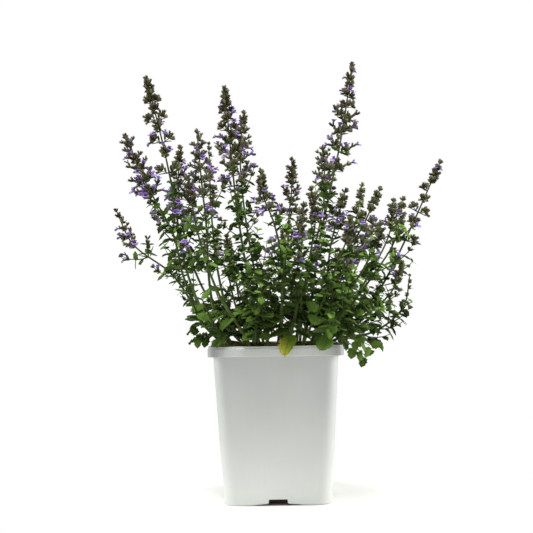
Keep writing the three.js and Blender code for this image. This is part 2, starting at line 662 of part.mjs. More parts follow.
function halfBalls({ frame, stalk, hub, calyces }) {
  const balls = stalk
    ? [outer(spot(frame, stalk + hub * 0.3, 0, 0), hub * 0.9), ball(spot(frame, stalk * 0.6, 0, 0), 1.5)]
    : [ball(spot(frame, hub * 0.65, 0, 0), hub * 0.55)];
  for (const { frame: axes, length, open } of calyces) {
    for (const [share, radius] of CALYX_BALLS) balls.push(ball(spot(axes, length * share, 0, 0), radius));
    balls.push(outer(spot(axes, length * TIP_BALL[0], 0, 0), TIP_BALL[1]));
    for (const [along, radius] of open ? FLOWER_BALLS : []) {
      balls.push(outer(spot(axes, length + along, 0, 0), radius));
    }
  }
  return balls;
}

// Where the organs of a stem sit, from its tip down: its whorls, then its pairs of leaves. The
// organs of a whorl or pair face opposite ways, square to those of the next.
function sitesOn(spine, { whorls = 0, gap = 0, pairs }) {
  const sites = [];
  let below = 0;
  for (let level = 0; level < whorls; level += 1) {
    sites.push({ level, distance: spine.length - below });
    below += gap * WHORL.spread ** level;
  }
  const ends = whorls ? PAIRS.flowering : PAIRS.leafy;
  for (let pair = 0; pair < pairs; pair += 1) {
    const share = pair / (pairs - 1);
    sites.push({ share, distance: mix(spine.length - below - ends.below, ends.above, share) });
  }
  return sites.map((site, i) => ({ ...site, side: i % 4 }));
}

function growSites(crowd, stem, picked, shapeFor, placed, leeway) {
  const draw = drawsFrom(stem.seed);
  for (const site of sitesOn(stem.spine, stem).filter(picked)) {
    for (const side of site.level === 0 ? [site.side] : [site.side, (site.side + 2) % 4]) {
      const shape = shapeFor(draw, site, stem);
      const make = placed(stem.spine, site.distance, stem.turn + 90 * side, shape);
      const organ = settle(crowd, stem.spine, make, leeway);
      if (organ) stem.organs.push({ ...organ, distance: site.distance, side });
    }
  }
}

// --- Growing the leaves ------------------------------------------------------------------------
function leafBalls({ frame, petiole, length, width, droop, fold }) {
  const balls = [ball(spot(frame, 2.8, 0, 0), 1.3)];
  for (const share of [0.2, 0.4, 0.6, 0.8, 0.98]) {
    const along = petiole + (length - petiole) * share;
    const half = (width / 2) * bladeHalf(share);
    const sag = -droop * (along / length) ** 2;
    for (const side of half > 3 ? [-0.88, -0.45, 0, 0.45, 0.88] : [0]) {
      const up = sag + Math.abs(side) * fold * (half / width);
      balls.push(ball(spot(frame, along, side * half, up), 1.8));
    }
  }
  return balls;
}

function placeLeaf(spine, distance, turn, shape) {
  return (turned, lifted, scale) => {
    const heading = turn + shape.turn + turned;
    const frame = organFrame(spine, distance, heading, shape.lift + lifted, LEAF.upright);
    const leaf = { ...shape, frame };
    for (const size of ["length", "width", "petiole"]) leaf[size] = shape[size] * scale;
    return { ...leaf, balls: leafBalls(leaf) };
  };
}

// share is 0 for the uppermost pair of leaves and 1 for the lowest.
function drawLeaf(draw, { share }, { size = 1 }) {
  const scale = mix(1, size, 0.5) * (1 + about(draw, LEAF_VARIES.scale));
  const length = mix(LEAF.shortest, LEAF.longest, share) * scale;
  const breadth = LEAF.breadth * mix(0.85, 0.95, share) * (1 + about(draw, LEAF_VARIES.width));
  return {
    kind: "leaf",
    ...(length > LARGE.from ? LARGE : SMALL),
    length,
    width: length * breadth,
    lift: mix(42, 2, share) + about(draw, LEAF_VARIES.lift),
    turn: about(draw, LEAF_VARIES.turn),
    fold: 3 + about(draw, LEAF_VARIES.fold),
    droop: mix(1.5, 5.5, share) + about(draw, LEAF_VARIES.droop),
  };
}

function growRimLeaf(crowd, stem) {
  const { above, side, turn, lift, length, width } = RIM_LEAF;
  const shape = { kind: "leaf", ...LARGE, length, width, lift, turn, fold: 2, droop: 2 };
  const distance = ROOT_DEPTH + above;
  const make = placeLeaf(stem.spine, distance, stem.turn + 90 * side, shape);
  stem.organs.push({ ...settle(crowd, stem.spine, make, LEEWAY.leaf), distance, side });
}

// --- The whole plant ---------------------------------------------------------------------------
function lineBalls(spine) {
  const balls = [];
  for (let distance = ROOT_DEPTH; distance < spine.length; distance += LINE.step) {
    balls.push(ball(spine.at(distance).point, spine.radius(distance) + LINE.clearance));
  }
  return balls;
}

function growPlant() {
  const stems = [...FLOWERING, ...LEAFY].map((stem, i) => ({
    ...stem,
    seed: 1000 + 97 * i,
    title: `${i < FLOWERING.length ? "flowering" : "leafy"}_stem_${stem.name}`,
    spine: new Spine(stem),
    organs: [],
  }));
  const crowd = new Crowd();
  for (const { spine } of stems) crowd.add(lineBalls(spine), spine);
  growRimLeaf(crowd, stems.find(({ title }) => title === RIM_LEAF.stem));
  const isWhorl = ({ level }) => level !== undefined;
  const isPair = ({ share }) => share !== undefined;
  const half = (draw, { level }, stem) => drawHalf(draw, level, stem);
  for (const stem of stems) growSites(crowd, stem, isWhorl, half, placeHalf, LEEWAY.whorl);
  for (const stem of stems) growSites(crowd, stem, isPair, drawLeaf, placeLeaf, LEEWAY.leaf);
  return stems;
}

const GROW = { leaf: growLeaf, tuft: growTuft, cyme: growCyme };

// The stem's skin, ring by ring from its buried foot to its tip. Two close rings at each site
// make the four loops that its organs grow out of.
function stemSolid({ spine, organs }) {
  const skin = new Skin();
  const ringAt = (distance) => stemRing(spine, distance).map((point) => skin.add(point));
  const head = organs.find(({ kind }) => kind === "head");
  const sites = [...new Set(organs.filter((one) => one !== head).map(({ distance }) => distance))];
  let below = ringAt(BURIED[0]);
  skin.faces.push([below[0], below[2], below[1]], [below[0], below[3], below[2]]);
  const reach = (distance) => {
    const ring = ringAt(distance);
    skin.band(below, ring);
    below = ring;
  };
  BURIED.slice(1).forEach(reach);
  for (const distance of sites.sort((one, other) => one - other)) {
    reach(distance - PORT / 2);
    const above = ringAt(distance + PORT / 2);
    for (const side of [0, 1, 2, 3]) {
      const next = (side + 1) % 4;
      const loop = [below[side], below[next], above[next], above[side]];
      const organ = organs.find((one) => one.distance === distance && one.side === side);
      if (organ) GROW[organ.kind](skin, loop, organ);
      else skin.faces.push([loop[0], loop[1], loop[2]], [loop[0], loop[2], loop[3]]);
    }
    below = above;
  }
  reach(spine.length - PORT / 2);
  if (head) growTuft(skin, below, head);
  else skin.cone(below, skin.add(spine.at(spine.length + STEM.point).point));
  return solidOf(geometryOf(skin.points, skin.faces));
}

const stems = growPlant();
const group = new THREE.Group();
group.add(meshOf("pot", buildPot(), { colour: 0xc3c8c6, roughness: 0.42 }));
group.add(meshOf("soil", buildSoil(stems.map(({ spine }) => spine)), { colour: 0x4a3626, roughness: 0.95 }));
for (const stem of stems) {
  group.add(meshOf(stem.title, stemSolid(stem), { colour: 0x4f7038, roughness: 0.7 }));
}

export default group;
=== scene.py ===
# %% [markdown]
# # A catmint in bloom in a nursery pot
# The plant stands in a square, pale plastic pot. Many square stems rise from the potting mix. Low
# down they bear pairs of scalloped leaves, and above them whorls of small ribbed calyces with
# violet, two-lipped flowers. The solid model gives the size and the place of every stem, so this
# lesson starts from it and dresses each stem with finer leaves and flowers of the same form.

import json
import math

import bmesh
import bpy
import numpy as np
from mathutils import Matrix, Vector

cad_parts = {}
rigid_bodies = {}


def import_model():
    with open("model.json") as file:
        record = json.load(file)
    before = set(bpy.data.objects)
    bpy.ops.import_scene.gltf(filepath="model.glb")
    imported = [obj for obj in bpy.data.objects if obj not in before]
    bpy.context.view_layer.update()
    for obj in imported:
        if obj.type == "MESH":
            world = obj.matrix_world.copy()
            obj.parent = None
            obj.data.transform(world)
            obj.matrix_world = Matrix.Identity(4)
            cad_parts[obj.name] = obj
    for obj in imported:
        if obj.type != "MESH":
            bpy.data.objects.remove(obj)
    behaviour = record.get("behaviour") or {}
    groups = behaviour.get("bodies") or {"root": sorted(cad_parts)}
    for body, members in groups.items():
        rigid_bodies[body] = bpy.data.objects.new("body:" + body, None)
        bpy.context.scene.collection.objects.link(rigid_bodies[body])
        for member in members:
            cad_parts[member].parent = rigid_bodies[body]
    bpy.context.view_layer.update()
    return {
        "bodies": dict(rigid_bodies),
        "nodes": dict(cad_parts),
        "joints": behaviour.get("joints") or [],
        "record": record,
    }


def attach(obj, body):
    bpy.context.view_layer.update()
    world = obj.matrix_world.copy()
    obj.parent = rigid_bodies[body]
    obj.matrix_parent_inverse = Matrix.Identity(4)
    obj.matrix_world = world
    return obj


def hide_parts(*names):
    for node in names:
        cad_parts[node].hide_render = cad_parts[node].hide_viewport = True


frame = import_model()
scene = bpy.context.scene

# %% [markdown]
# ## The camera
# The plant is seen from the front, from just above the rim of the pot. A 65 mm lens at 1.1 m gives
# little perspective. The camera looks slightly up and leans a little, so it is placed by three
# directions: where it looks, its right and its up.

# %% Camera
SENSOR = 36  # millimetres
FRAME = 533  # the width of the frame, in units of its own
LENS = 955  # the focal length, in those units
ROLL = 0.017  # the lean to the right, in radians
LOOK_LEFT, LOOK_UP = 8.4, 40.7  # how far the aim is off straight ahead, in the frame's units
EYE = Vector((0, -1.135, 0.221))

right = Vector((math.cos(ROLL), 0, -math.sin(ROLL)))
up = Vector((math.sin(ROLL), 0, math.cos(ROLL)))
look = (Vector((0, LENS, 0)) - right * LOOK_LEFT + up * LOOK_UP).normalized()
right = look.cross(up).normalized()
up = right.cross(look)

bpy.ops.object.select_all(action="DESELECT")
bpy.ops.object.camera_add()
camera = bpy.context.object
camera.matrix_world = Matrix((right, up, -look)).transposed().to_4x4()
camera.location = EYE
camera.data.sensor_width = SENSOR
camera.data.lens = SENSOR * LENS / FRAME
scene.camera = camera
print("camera looks", [round(value, 3) for value in look])

# %% [markdown]
# ## Floor and light
# The plant stands on white paper in front of a white that burns out. The world is as bright as
# that only where the camera sees it, and lights the plant far less, because a white room all around
# would leave it without shade. One large lamp above does most of the work. One at each side
# draws out the leaves and the pot's edges, and a weak one low in front opens the shade under the
# rim. The floor fades into the white around it. Standard colours keep the whites white.

# %% Floor and lights
PAPER = (0.98, 0.965, 0.93, 1)
PAPER_ENDS = [("From Min", 0.1), ("From Max", 0.26), ("To Min", 1), ("To Max", 0)]
ROOM_GLOW = 0.38

bpy.ops.object.select_all(action="DESELECT")
bpy.ops.mesh.primitive_plane_add(size=1)
floor = bpy.context.object
floor.name = "floor"
paper = bpy.data.materials.new("white_paper")
paper.use_nodes = True
tree = paper.node_tree
shader = tree.nodes["Principled BSDF"]
shader.inputs["Base Color"].default_value = PAPER
shader.inputs["Roughness"].default_value = 0.9
place = tree.nodes.new("ShaderNodeTexCoord")
distance = tree.nodes.new("ShaderNodeVectorMath")
distance.operation = "LENGTH"
fade = tree.nodes.new("ShaderNodeMapRange")
for socket, value in PAPER_ENDS:
    fade.inputs[socket].default_value = value
tree.links.new(place.outputs["Object"], distance.inputs[0])
tree.links.new(distance.outputs["Value"], fade.inputs["Value"])
tree.links.new(fade.outputs["Result"], shader.inputs["Alpha"])
floor.data.materials.append(paper)

scene.view_settings.view_transform = "Standard"
scene.world = bpy.data.worlds.new("white_room")
scene.world.use_nodes = True
tree = scene.world.node_tree
room = tree.nodes["Background"]
room.inputs["Color"].default_value = (1, 1, 1, 1)
seen = tree.nodes.new("ShaderNodeLightPath").outputs["Is Camera Ray"]
strength = tree.nodes.new("ShaderNodeMapRange")
strength.inputs["To Min"].default_value = ROOM_GLOW
tree.links.new(seen, strength.inputs["Value"])
tree.links.new(strength.outputs["Result"], room.inputs["Strength"])


def soft_light(name, place, size, power):
    """A square lamp that faces the foot of the flowers, in metres and watts."""
    bpy.ops.object.light_add(type="AREA", location=place)
    lamp = bpy.context.object
    lamp.name = name
    lamp.data.size = size
    lamp.data.energy = power
    towards_plant = Vector((0, 0, 0.25)) - lamp.location
    lamp.rotation_euler = towards_plant.to_track_quat("-Z", "Y").to_euler()


soft_light("top_light", (-0.1, -0.2, 2.2), 1.2, 66)
soft_light("left_light", (-1.7, 0.1, 0.7), 1.2, 23)
soft_light("right_light", (1.7, 0.1, 0.7), 1.2, 34)
soft_light("low_light", (0, -1.9, 0.05), 1, 3)
print(len(bpy.data.lights), "lamps")

# %% [markdown]
# ## Tools for modelling by hand
# Every shape starts as a primitive and is shaped in edit mode. A few helpers do what the mouse
# does: one adds a primitive with nothing else selected, one selects the parts of it whose middle
# passes a test, and the others move, scale and extrude what is selected. Tests and moves are in
# millimetres, because the parts of a flower are only a few millimetres long. The scene itself is
# in metres, so a primitive's own settings are multiplied by MM.

# %% Starting a piece and picking parts of it
MM = 0.001


def start(add_primitive, name, **settings):
    """Adds a primitive on its own, applies its place and goes into edit mode."""
    bpy.ops.object.select_all(action="DESELECT")
    add_primitive(**settings)
    piece = bpy.context.object
    piece.name = name
    bpy.ops.object.transform_apply(location=True, rotation=True, scale=True)
    bpy.ops.object.mode_set(mode="EDIT")
    return piece


def pick(piece, kind, test):
    """Selects the corners (VERT) or faces (FACE) whose middle and normal pass the test."""
    bpy.ops.mesh.select_mode(type=kind)
    bpy.ops.mesh.select_all(action="DESELECT")
    work = bmesh.from_edit_mesh(piece.data)
    for part in {"VERT": work.verts, "FACE": work.faces}[kind]:
        middle = part.co if kind == "VERT" else part.calc_center_median()
        if test(middle / MM, part.normal):
            part.select_set(True)
    work.select_flush_mode()
    bmesh.update_edit_mesh(piece.data)


def push(x=0, y=0, z=0):
    bpy.ops.transform.translate(value=(x * MM, y * MM, z * MM))


def swell(x=1, y=1, z=1):
    bpy.ops.transform.resize(value=(x, y, z), center_override=(0, 0, 0))


def extrude():
    bpy.ops.mesh.extrude_region_move()


def finish_shape(piece):
    """Turns all faces outwards and leaves edit mode."""
    bpy.ops.mesh.select_all(action="SELECT")
    bpy.ops.mesh.normals_make_consistent(inside=False)
    bpy.ops.object.mode_set(mode="OBJECT")
    return piece


def apply_modifiers(piece):
    bpy.ops.object.select_all(action="DESELECT")
    piece.select_set(True)
    bpy.context.view_layer.objects.active = piece
    for modifier in list(piece.modifiers):
        bpy.ops.object.modifier_apply(modifier=modifier.name)


# %% [markdown]
# ## One leaf
# A catmint leaf is heart-shaped and blunt, with round scallops along its edge. It folds a little
# along its midrib and droops towards its tip. It starts as a flat grid. Each column of the grid is
# moved and scaled to the leaf's width there, wider at the middle of a scallop and narrower between
# two. The blade then gets its thickness, and a short stalk joins it to the stem. Shaping whole
# columns keeps the number of faces low, because the plant needs thousands of leaves: a large one,
# a small one with fewer scallops, and a tiny one without a stalk.

# %% Leaf shape
LEAF_LENGTH = 26
LEAF_WIDTH = 20
STALK_SHARE = 0.15  # of the leaf's length
SCALLOP_OUT, SCALLOP_IN = 1.1, 0.82  # the width at a scallop and between two
BLADE_TIP = 1.2
BLADE_DROOP = 3.4
BLADE_FOLD = 1.3
BLADE_PUCKER = 0.35
BLADE_THICKNESS = 0.35


def blade_half(share):
    """Half the width of a blade at a share of its length: broad near its base."""
    return math.sin(math.pi * share**0.62) ** 0.85 if 0 < share < 1 else 0.02


def model_leaf(name, lobes, rows, stalk_share=STALK_SHARE):
    columns = 2 * lobes + 1
    blade = LEAF_LENGTH * (1 - stalk_share)
    leaf = start(
        bpy.ops.mesh.primitive_grid_add,
        name,
        x_subdivisions=columns,
        y_subdivisions=rows,
        size=1,
        location=(0.5, 0, 0),
    )
    for column in range(columns + 1):
        here = 1000 * column / columns  # the grid is still a metre long, and so easy to pick from
        lobe = column % 2 == 1
        share = (column - 0.35 if lobe else column - 0.1) / (columns - 0.3) if column else 0
        width = LEAF_WIDTH * blade_half(share) ** 0.62 * (SCALLOP_OUT if lobe else SCALLOP_IN)
        if column == columns:
            share, width = 1, BLADE_TIP
        pick(leaf, "VERT", lambda middle, normal: abs(middle.x - here) < 1)
        swell(y=width * MM)
        push(x=LEAF_LENGTH * stalk_share + blade * share - here, z=-BLADE_DROOP * share**2)
        if rows > 2:
            push(z=BLADE_PUCKER if lobe else -BLADE_PUCKER)
    pick(leaf, "VERT", lambda middle, normal: abs(middle.y) < 0.05)
    push(z=-BLADE_FOLD)
    finish_shape(leaf)
    leaf.modifiers.new("blade thickness", "SOLIDIFY").thickness = BLADE_THICKNESS * MM
    apply_modifiers(leaf)
    return add_leaf_stalk(leaf) if stalk_share else leaf


def add_leaf_stalk(leaf):
    """Joins a thin stalk to the foot of the blade, which it enters by a millimetre."""
    length = LEAF_LENGTH * STALK_SHARE + 1
    stalk = start(
        bpy.ops.mesh.primitive_cylinder_add,
        "leaf stalk",
        vertices=5,
        radius=0.55 * MM,
        depth=length * MM,
        location=(length * MM / 2, 0, 0),
        rotation=(0, math.pi / 2, 0),
    )
    pick(stalk, "VERT", lambda middle, normal: middle.x > 1)
    swell(y=0.7, z=0.6)
    push(z=-1)
    finish_shape(stalk)
    bpy.ops.object.select_all(action="DESELECT")
    stalk.select_set(True)
    leaf.select_set(True)
    bpy.context.view_layer.objects.active = leaf
    bpy.ops.object.join()
    return leaf


large_leaf = model_leaf("large leaf", lobes=6, rows=4)
small_leaf = model_leaf("small leaf", lobes=3, rows=2)
tiny_leaf = model_leaf("tiny leaf", lobes=2, rows=2, stalk_share=0)
for leaf in (large_leaf, small_leaf, tiny_leaf):
    print(leaf.name, len(leaf.data.polygons), "faces")

# %% [markdown]
# ## One calyx
# The calyx is the green cup that holds a flower: a ribbed tube about 6 mm long that tapers to its
# foot and ends in five pointed teeth. A cone with ten sides gives the ribs, because every second
# edge of it is pulled in. Its wide end is extruded forward, and the end's face is inset and pushed
# back in, so that the cup is hollow. The ribs' ends are then drawn out to the teeth.

# %% Calyx shape
CALYX_LENGTH = 6.6
CALYX_RADIUS = 1.3
CALYX_SIDES = 10
CALYX_CONE, CALYX_TUBE = 3, 2.2  # the length of the cone and of the tube on it
TOOTH = CALYX_LENGTH - CALYX_CONE - CALYX_TUBE


def angle_step(middle, sides):
    """Which of a ring's corners a point is, counted round the x axis."""
    return round(math.atan2(middle.z, middle.y) / (2 * math.pi / sides)) % sides


def model_calyx():
    calyx = start(
        bpy.ops.mesh.primitive_cone_add,
        "calyx",
        vertices=CALYX_SIDES,
        radius1=0,
        radius2=CALYX_RADIUS * MM,
        depth=CALYX_CONE * MM,
        location=(CALYX_CONE / 2 * MM, 0, 0),
        rotation=(math.pi / 2, 0, math.pi / 2),
    )
    pick(calyx, "FACE", lambda middle, normal: normal.x > 0.9)
    extrude()
    push(x=CALYX_TUBE)
    bpy.ops.mesh.inset(thickness=0.25 * MM)
    push(x=-1.6)
    swell(y=0.7, z=0.7)
    first = bmesh.from_edit_mesh(calyx.data).verts[:][0].co
    rib = angle_step(first, CALYX_SIDES) % 2

    def is_rib(middle):
        return angle_step(middle, CALYX_SIDES) % 2 == rib

    pick(calyx, "VERT", lambda middle, normal: not is_rib(middle))
    swell(y=0.8, z=0.8)
    pick(calyx, "VERT", lambda middle, normal: middle.x > 4 and is_rib(middle))
    push(x=TOOTH)
    return finish_shape(calyx)


calyx_shape = model_calyx()
print("calyx", len(calyx_shape.data.polygons), "faces")

# %% [markdown]
# ## One flower
# The violet flower is a slim tube that opens into a throat with two lips. The upper lip is a small
# hood. The lower lip is broad, hangs down and is notched in the middle. The tube is a cone whose
# end is extruded and widened twice. Its end face is inset, which leaves a ring around the throat.
# The lower and upper faces of that ring are extruded outwards, so that each lip has a real
# thickness, and the face in the middle is pushed back into the tube.

# %% Flower shape
THROAT_X = 5.8  # what lies further out than this is the end of the flower


def is_near_axis(middle):
    return math.hypot(middle.y, middle.z + 0.3) < 0.6


def pick_ring(flower, test):
    """Picks faces of the narrow ring around the throat, and not the face in its middle."""

    def is_ring(middle, normal):
        return middle.x > THROAT_X and not is_near_axis(middle) and test(middle)

    pick(flower, "FACE", is_ring)


def model_flower():
    flower = start(
        bpy.ops.mesh.primitive_cone_add,
        "flower",
        vertices=8,
        radius1=0.5 * MM,
        radius2=0.8 * MM,
        depth=3.5 * MM,
        location=(1.75 * MM, 0, 0),
        rotation=(math.pi / 2, 0, math.pi / 2),
    )
    pick(flower, "FACE", lambda middle, normal: normal.x > 0.9)
    for forward, wider, lower in [(1.2, 1.5, -0.1), (1.2, 1.55, -0.2)]:
        extrude()
        push(x=forward, z=lower)
        swell(y=wider, z=wider)
    bpy.ops.mesh.inset(thickness=0.45 * MM)
    pick_ring(flower, lambda middle: middle.z < -0.3)
    for forward, wider, lower in [(1, 1.4, -0.2), (0.9, 1.35, -0.8), (0.2, 0.8, -1.1)]:
        extrude()
        push(x=forward, z=lower)
        swell(y=wider)
    pick(flower, "VERT", lambda middle, normal: middle.z < -3.4 and abs(middle.y) < 0.7)
    push(x=-0.3, z=0.8)
    pick_ring(flower, lambda middle: middle.z > 0.6 and middle.x < THROAT_X + 0.2)
    for forward, wider, higher in [(1, 1.5, 0.1), (0.6, 1.15, 0.5)]:
        extrude()
        push(x=forward, z=higher)
        swell(y=wider)
    pick(flower, "FACE", lambda middle, normal: middle.x > THROAT_X and is_near_axis(middle))
    push(x=-2.4)
    swell(y=0.5, z=0.5)
    return finish_shape(flower)


flower_shape = model_flower()
print("flower", len(flower_shape.data.polygons), "faces")

# %% [markdown]
# ## A bud and a stalk
# A flower that is still shut shows as a small violet knob in the mouth of the calyx: a ball with
# few faces, drawn out at its front. The stalk is a thin square rod, one millimetre long. It is
# stretched to carry a half-whorl, a calyx that stands far out, or one joint of a side shoot.

# %% Bud and stalk shapes
bud_shape = start(
    bpy.ops.mesh.primitive_uv_sphere_add,
    "bud",
    segments=6,
    ring_count=4,
    radius=0.75 * MM,
    rotation=(0, math.pi / 2, 0),
)
pick(bud_shape, "VERT", lambda middle, normal: middle.x > 0)
swell(x=2.2, y=0.9, z=0.9)
finish_shape(bud_shape)

stalk_shape = start(
    bpy.ops.mesh.primitive_cylinder_add,
    "stalk",
    vertices=4,
    radius=0.5 * MM,
    depth=1 * MM,
    location=(0.5 * MM, 0, 0),
    rotation=(0, math.pi / 2, 0),
)
pick(stalk_shape, "VERT", lambda middle, normal: middle.x > 0.5)
swell(y=0.8, z=0.8)
finish_shape(stalk_shape)
print("bud", len(bud_shape.data.polygons), "faces, stalk", len(stalk_shape.data.polygons))

# %% [markdown]
# ## From a shape to hundreds of copies
# A modelled shape is read once into arrays: its corners, faces, which finish each face takes and a
# flat map of it. A plant's piece is then built by copying those arrays to every place, which gives
# one mesh with real faces. Each copy also carries two numbers for its finish: a tint of its own
# and its age, from 0 for the oldest at the foot to 1 for the youngest at the tip.

# %% Reading a shape into arrays
STEM, LEAF_TOP, LEAF_UNDER, CALYX, PETAL = range(5)


def read_shape(piece, finish_of, flat_map, is_smooth=lambda normal: True):
    """Reads a piece into arrays, with a finish for each face, and removes the piece."""
    mesh = piece.data
    corners = np.empty(len(mesh.vertices) * 3)
    mesh.vertices.foreach_get("co", corners)
    corners = corners.reshape(-1, 3)
    loops = np.empty(len(mesh.loops), dtype=np.int64)
    mesh.loops.foreach_get("vertex_index", loops)
    sizes = np.empty(len(mesh.polygons), dtype=np.int64)
    mesh.polygons.foreach_get("loop_total", sizes)
    finishes = [finish_of(face.center / MM, face.normal) for face in mesh.polygons]
    smooth = [is_smooth(face.normal) for face in mesh.polygons]
    flat = np.array([flat_map(*(corner / MM)) for corner in corners])[loops]
    bpy.data.objects.remove(piece)
    return {
        "corners": corners, "loops": loops, "sizes": sizes,
        "finishes": np.array(finishes), "smooth": np.array(smooth), "flat": flat,
    }


def blade_finish(middle, normal):
    return LEAF_TOP if normal.z > 0 else LEAF_UNDER


def leaf_finish(middle, normal):
    return STEM if middle.x < LEAF_LENGTH * STALK_SHARE else blade_finish(middle, normal)


def leaf_map(x, y, z):
    return x / LEAF_LENGTH, y / LEAF_WIDTH + 0.5


def tube_map(x, y, z):
    return math.atan2(z, y) / (2 * math.pi) + 0.5, x / 6


def is_blade(normal):
    return abs(normal.z) > 0.55


SHAPES = {
    "large leaf": read_shape(large_leaf, leaf_finish, leaf_map, is_blade),
    "small leaf": read_shape(small_leaf, leaf_finish, leaf_map, is_blade),
    "tiny leaf": read_shape(tiny_leaf, blade_finish, leaf_map, is_blade),
    "calyx": read_shape(calyx_shape, lambda *face: CALYX, tube_map, lambda normal: False),
    "flower": read_shape(flower_shape, lambda *face: PETAL, tube_map),
    "bud": read_shape(bud_shape, lambda *face: PETAL, tube_map),
    "stalk": read_shape(stalk_shape, lambda *face: STEM, tube_map),
}
print({name: len(shape["sizes"]) for name, shape in SHAPES.items()})


# %% Copying shapes into one mesh
class Cluster:
    """Gathers copies of shapes, and makes one object of them."""

    def __init__(self):
        self.parts = []

    def add(self, shape, corners, tint, age):
        count = len(shape["corners"])
        self.parts.append((shape, corners, np.full(count, tint), np.broadcast_to(age, count)))

    def stamp(self, name, place, scale, tint, age):
        """Puts a copy at a place, given as (root, along, across, up) in millimetres."""
        root, along, across, up = place
        axes = np.array([along * scale[0], across * scale[1], up * scale[2]])
        corners = SHAPES[name]["corners"] @ axes + np.array(root) * MM
        self.add(SHAPES[name], corners, tint, age)

    def joined(self, label):
        """One array of all the copied shapes, such as their sizes or finishes, end to end."""
        return np.concatenate([shape[label] for shape, *_ in self.parts])

    def make(self, name, materials):
        mesh = bpy.data.meshes.new(name)
        corners = np.concatenate([corners for _, corners, _, _ in self.parts])
        mesh.vertices.add(len(corners))
        mesh.vertices.foreach_set("co", corners.ravel())
        counts = [len(shape["corners"]) for shape, *_ in self.parts]
        firsts = np.concatenate([[0], np.cumsum(counts)[:-1]])
        loops = [part[0]["loops"] + first for part, first in zip(self.parts, firsts)]
        loops = np.concatenate(loops)
        sizes = self.joined("sizes")
        mesh.loops.add(len(loops))
        mesh.loops.foreach_set("vertex_index", loops)
        mesh.polygons.add(len(sizes))
        mesh.polygons.foreach_set("loop_start", np.concatenate([[0], np.cumsum(sizes)[:-1]]))
        mesh.polygons.foreach_set("loop_total", sizes)
        mesh.polygons.foreach_set("material_index", self.joined("finishes"))
        mesh.polygons.foreach_set("use_smooth", self.joined("smooth"))
        mesh.uv_layers.new(name="flat").data.foreach_set("uv", self.joined("flat").ravel())
        for label, place in [("tint", 2), ("age", 3)]:
            layer = mesh.attributes.new(label, "FLOAT", "POINT")
            layer.data.foreach_set("value", np.concatenate([part[place] for part in self.parts]))
        mesh.update()
        for material in materials:
            mesh.materials.append(material)
        piece = bpy.data.objects.new(name, mesh)
        scene.collection.objects.link(piece)
        return piece


# %% [markdown]
# ## Where everything grows
# The stems are listed as in the solid model, in millimetres: where each leaves the soil, the points
# that it passes through, and the turn of its uppermost whorl or pair. Then come its pairs of
# leaves, its whorls with the gap below the first, the share of open flowers, and its size where it
# is small. A smooth curve through the points gives the line of the stem.

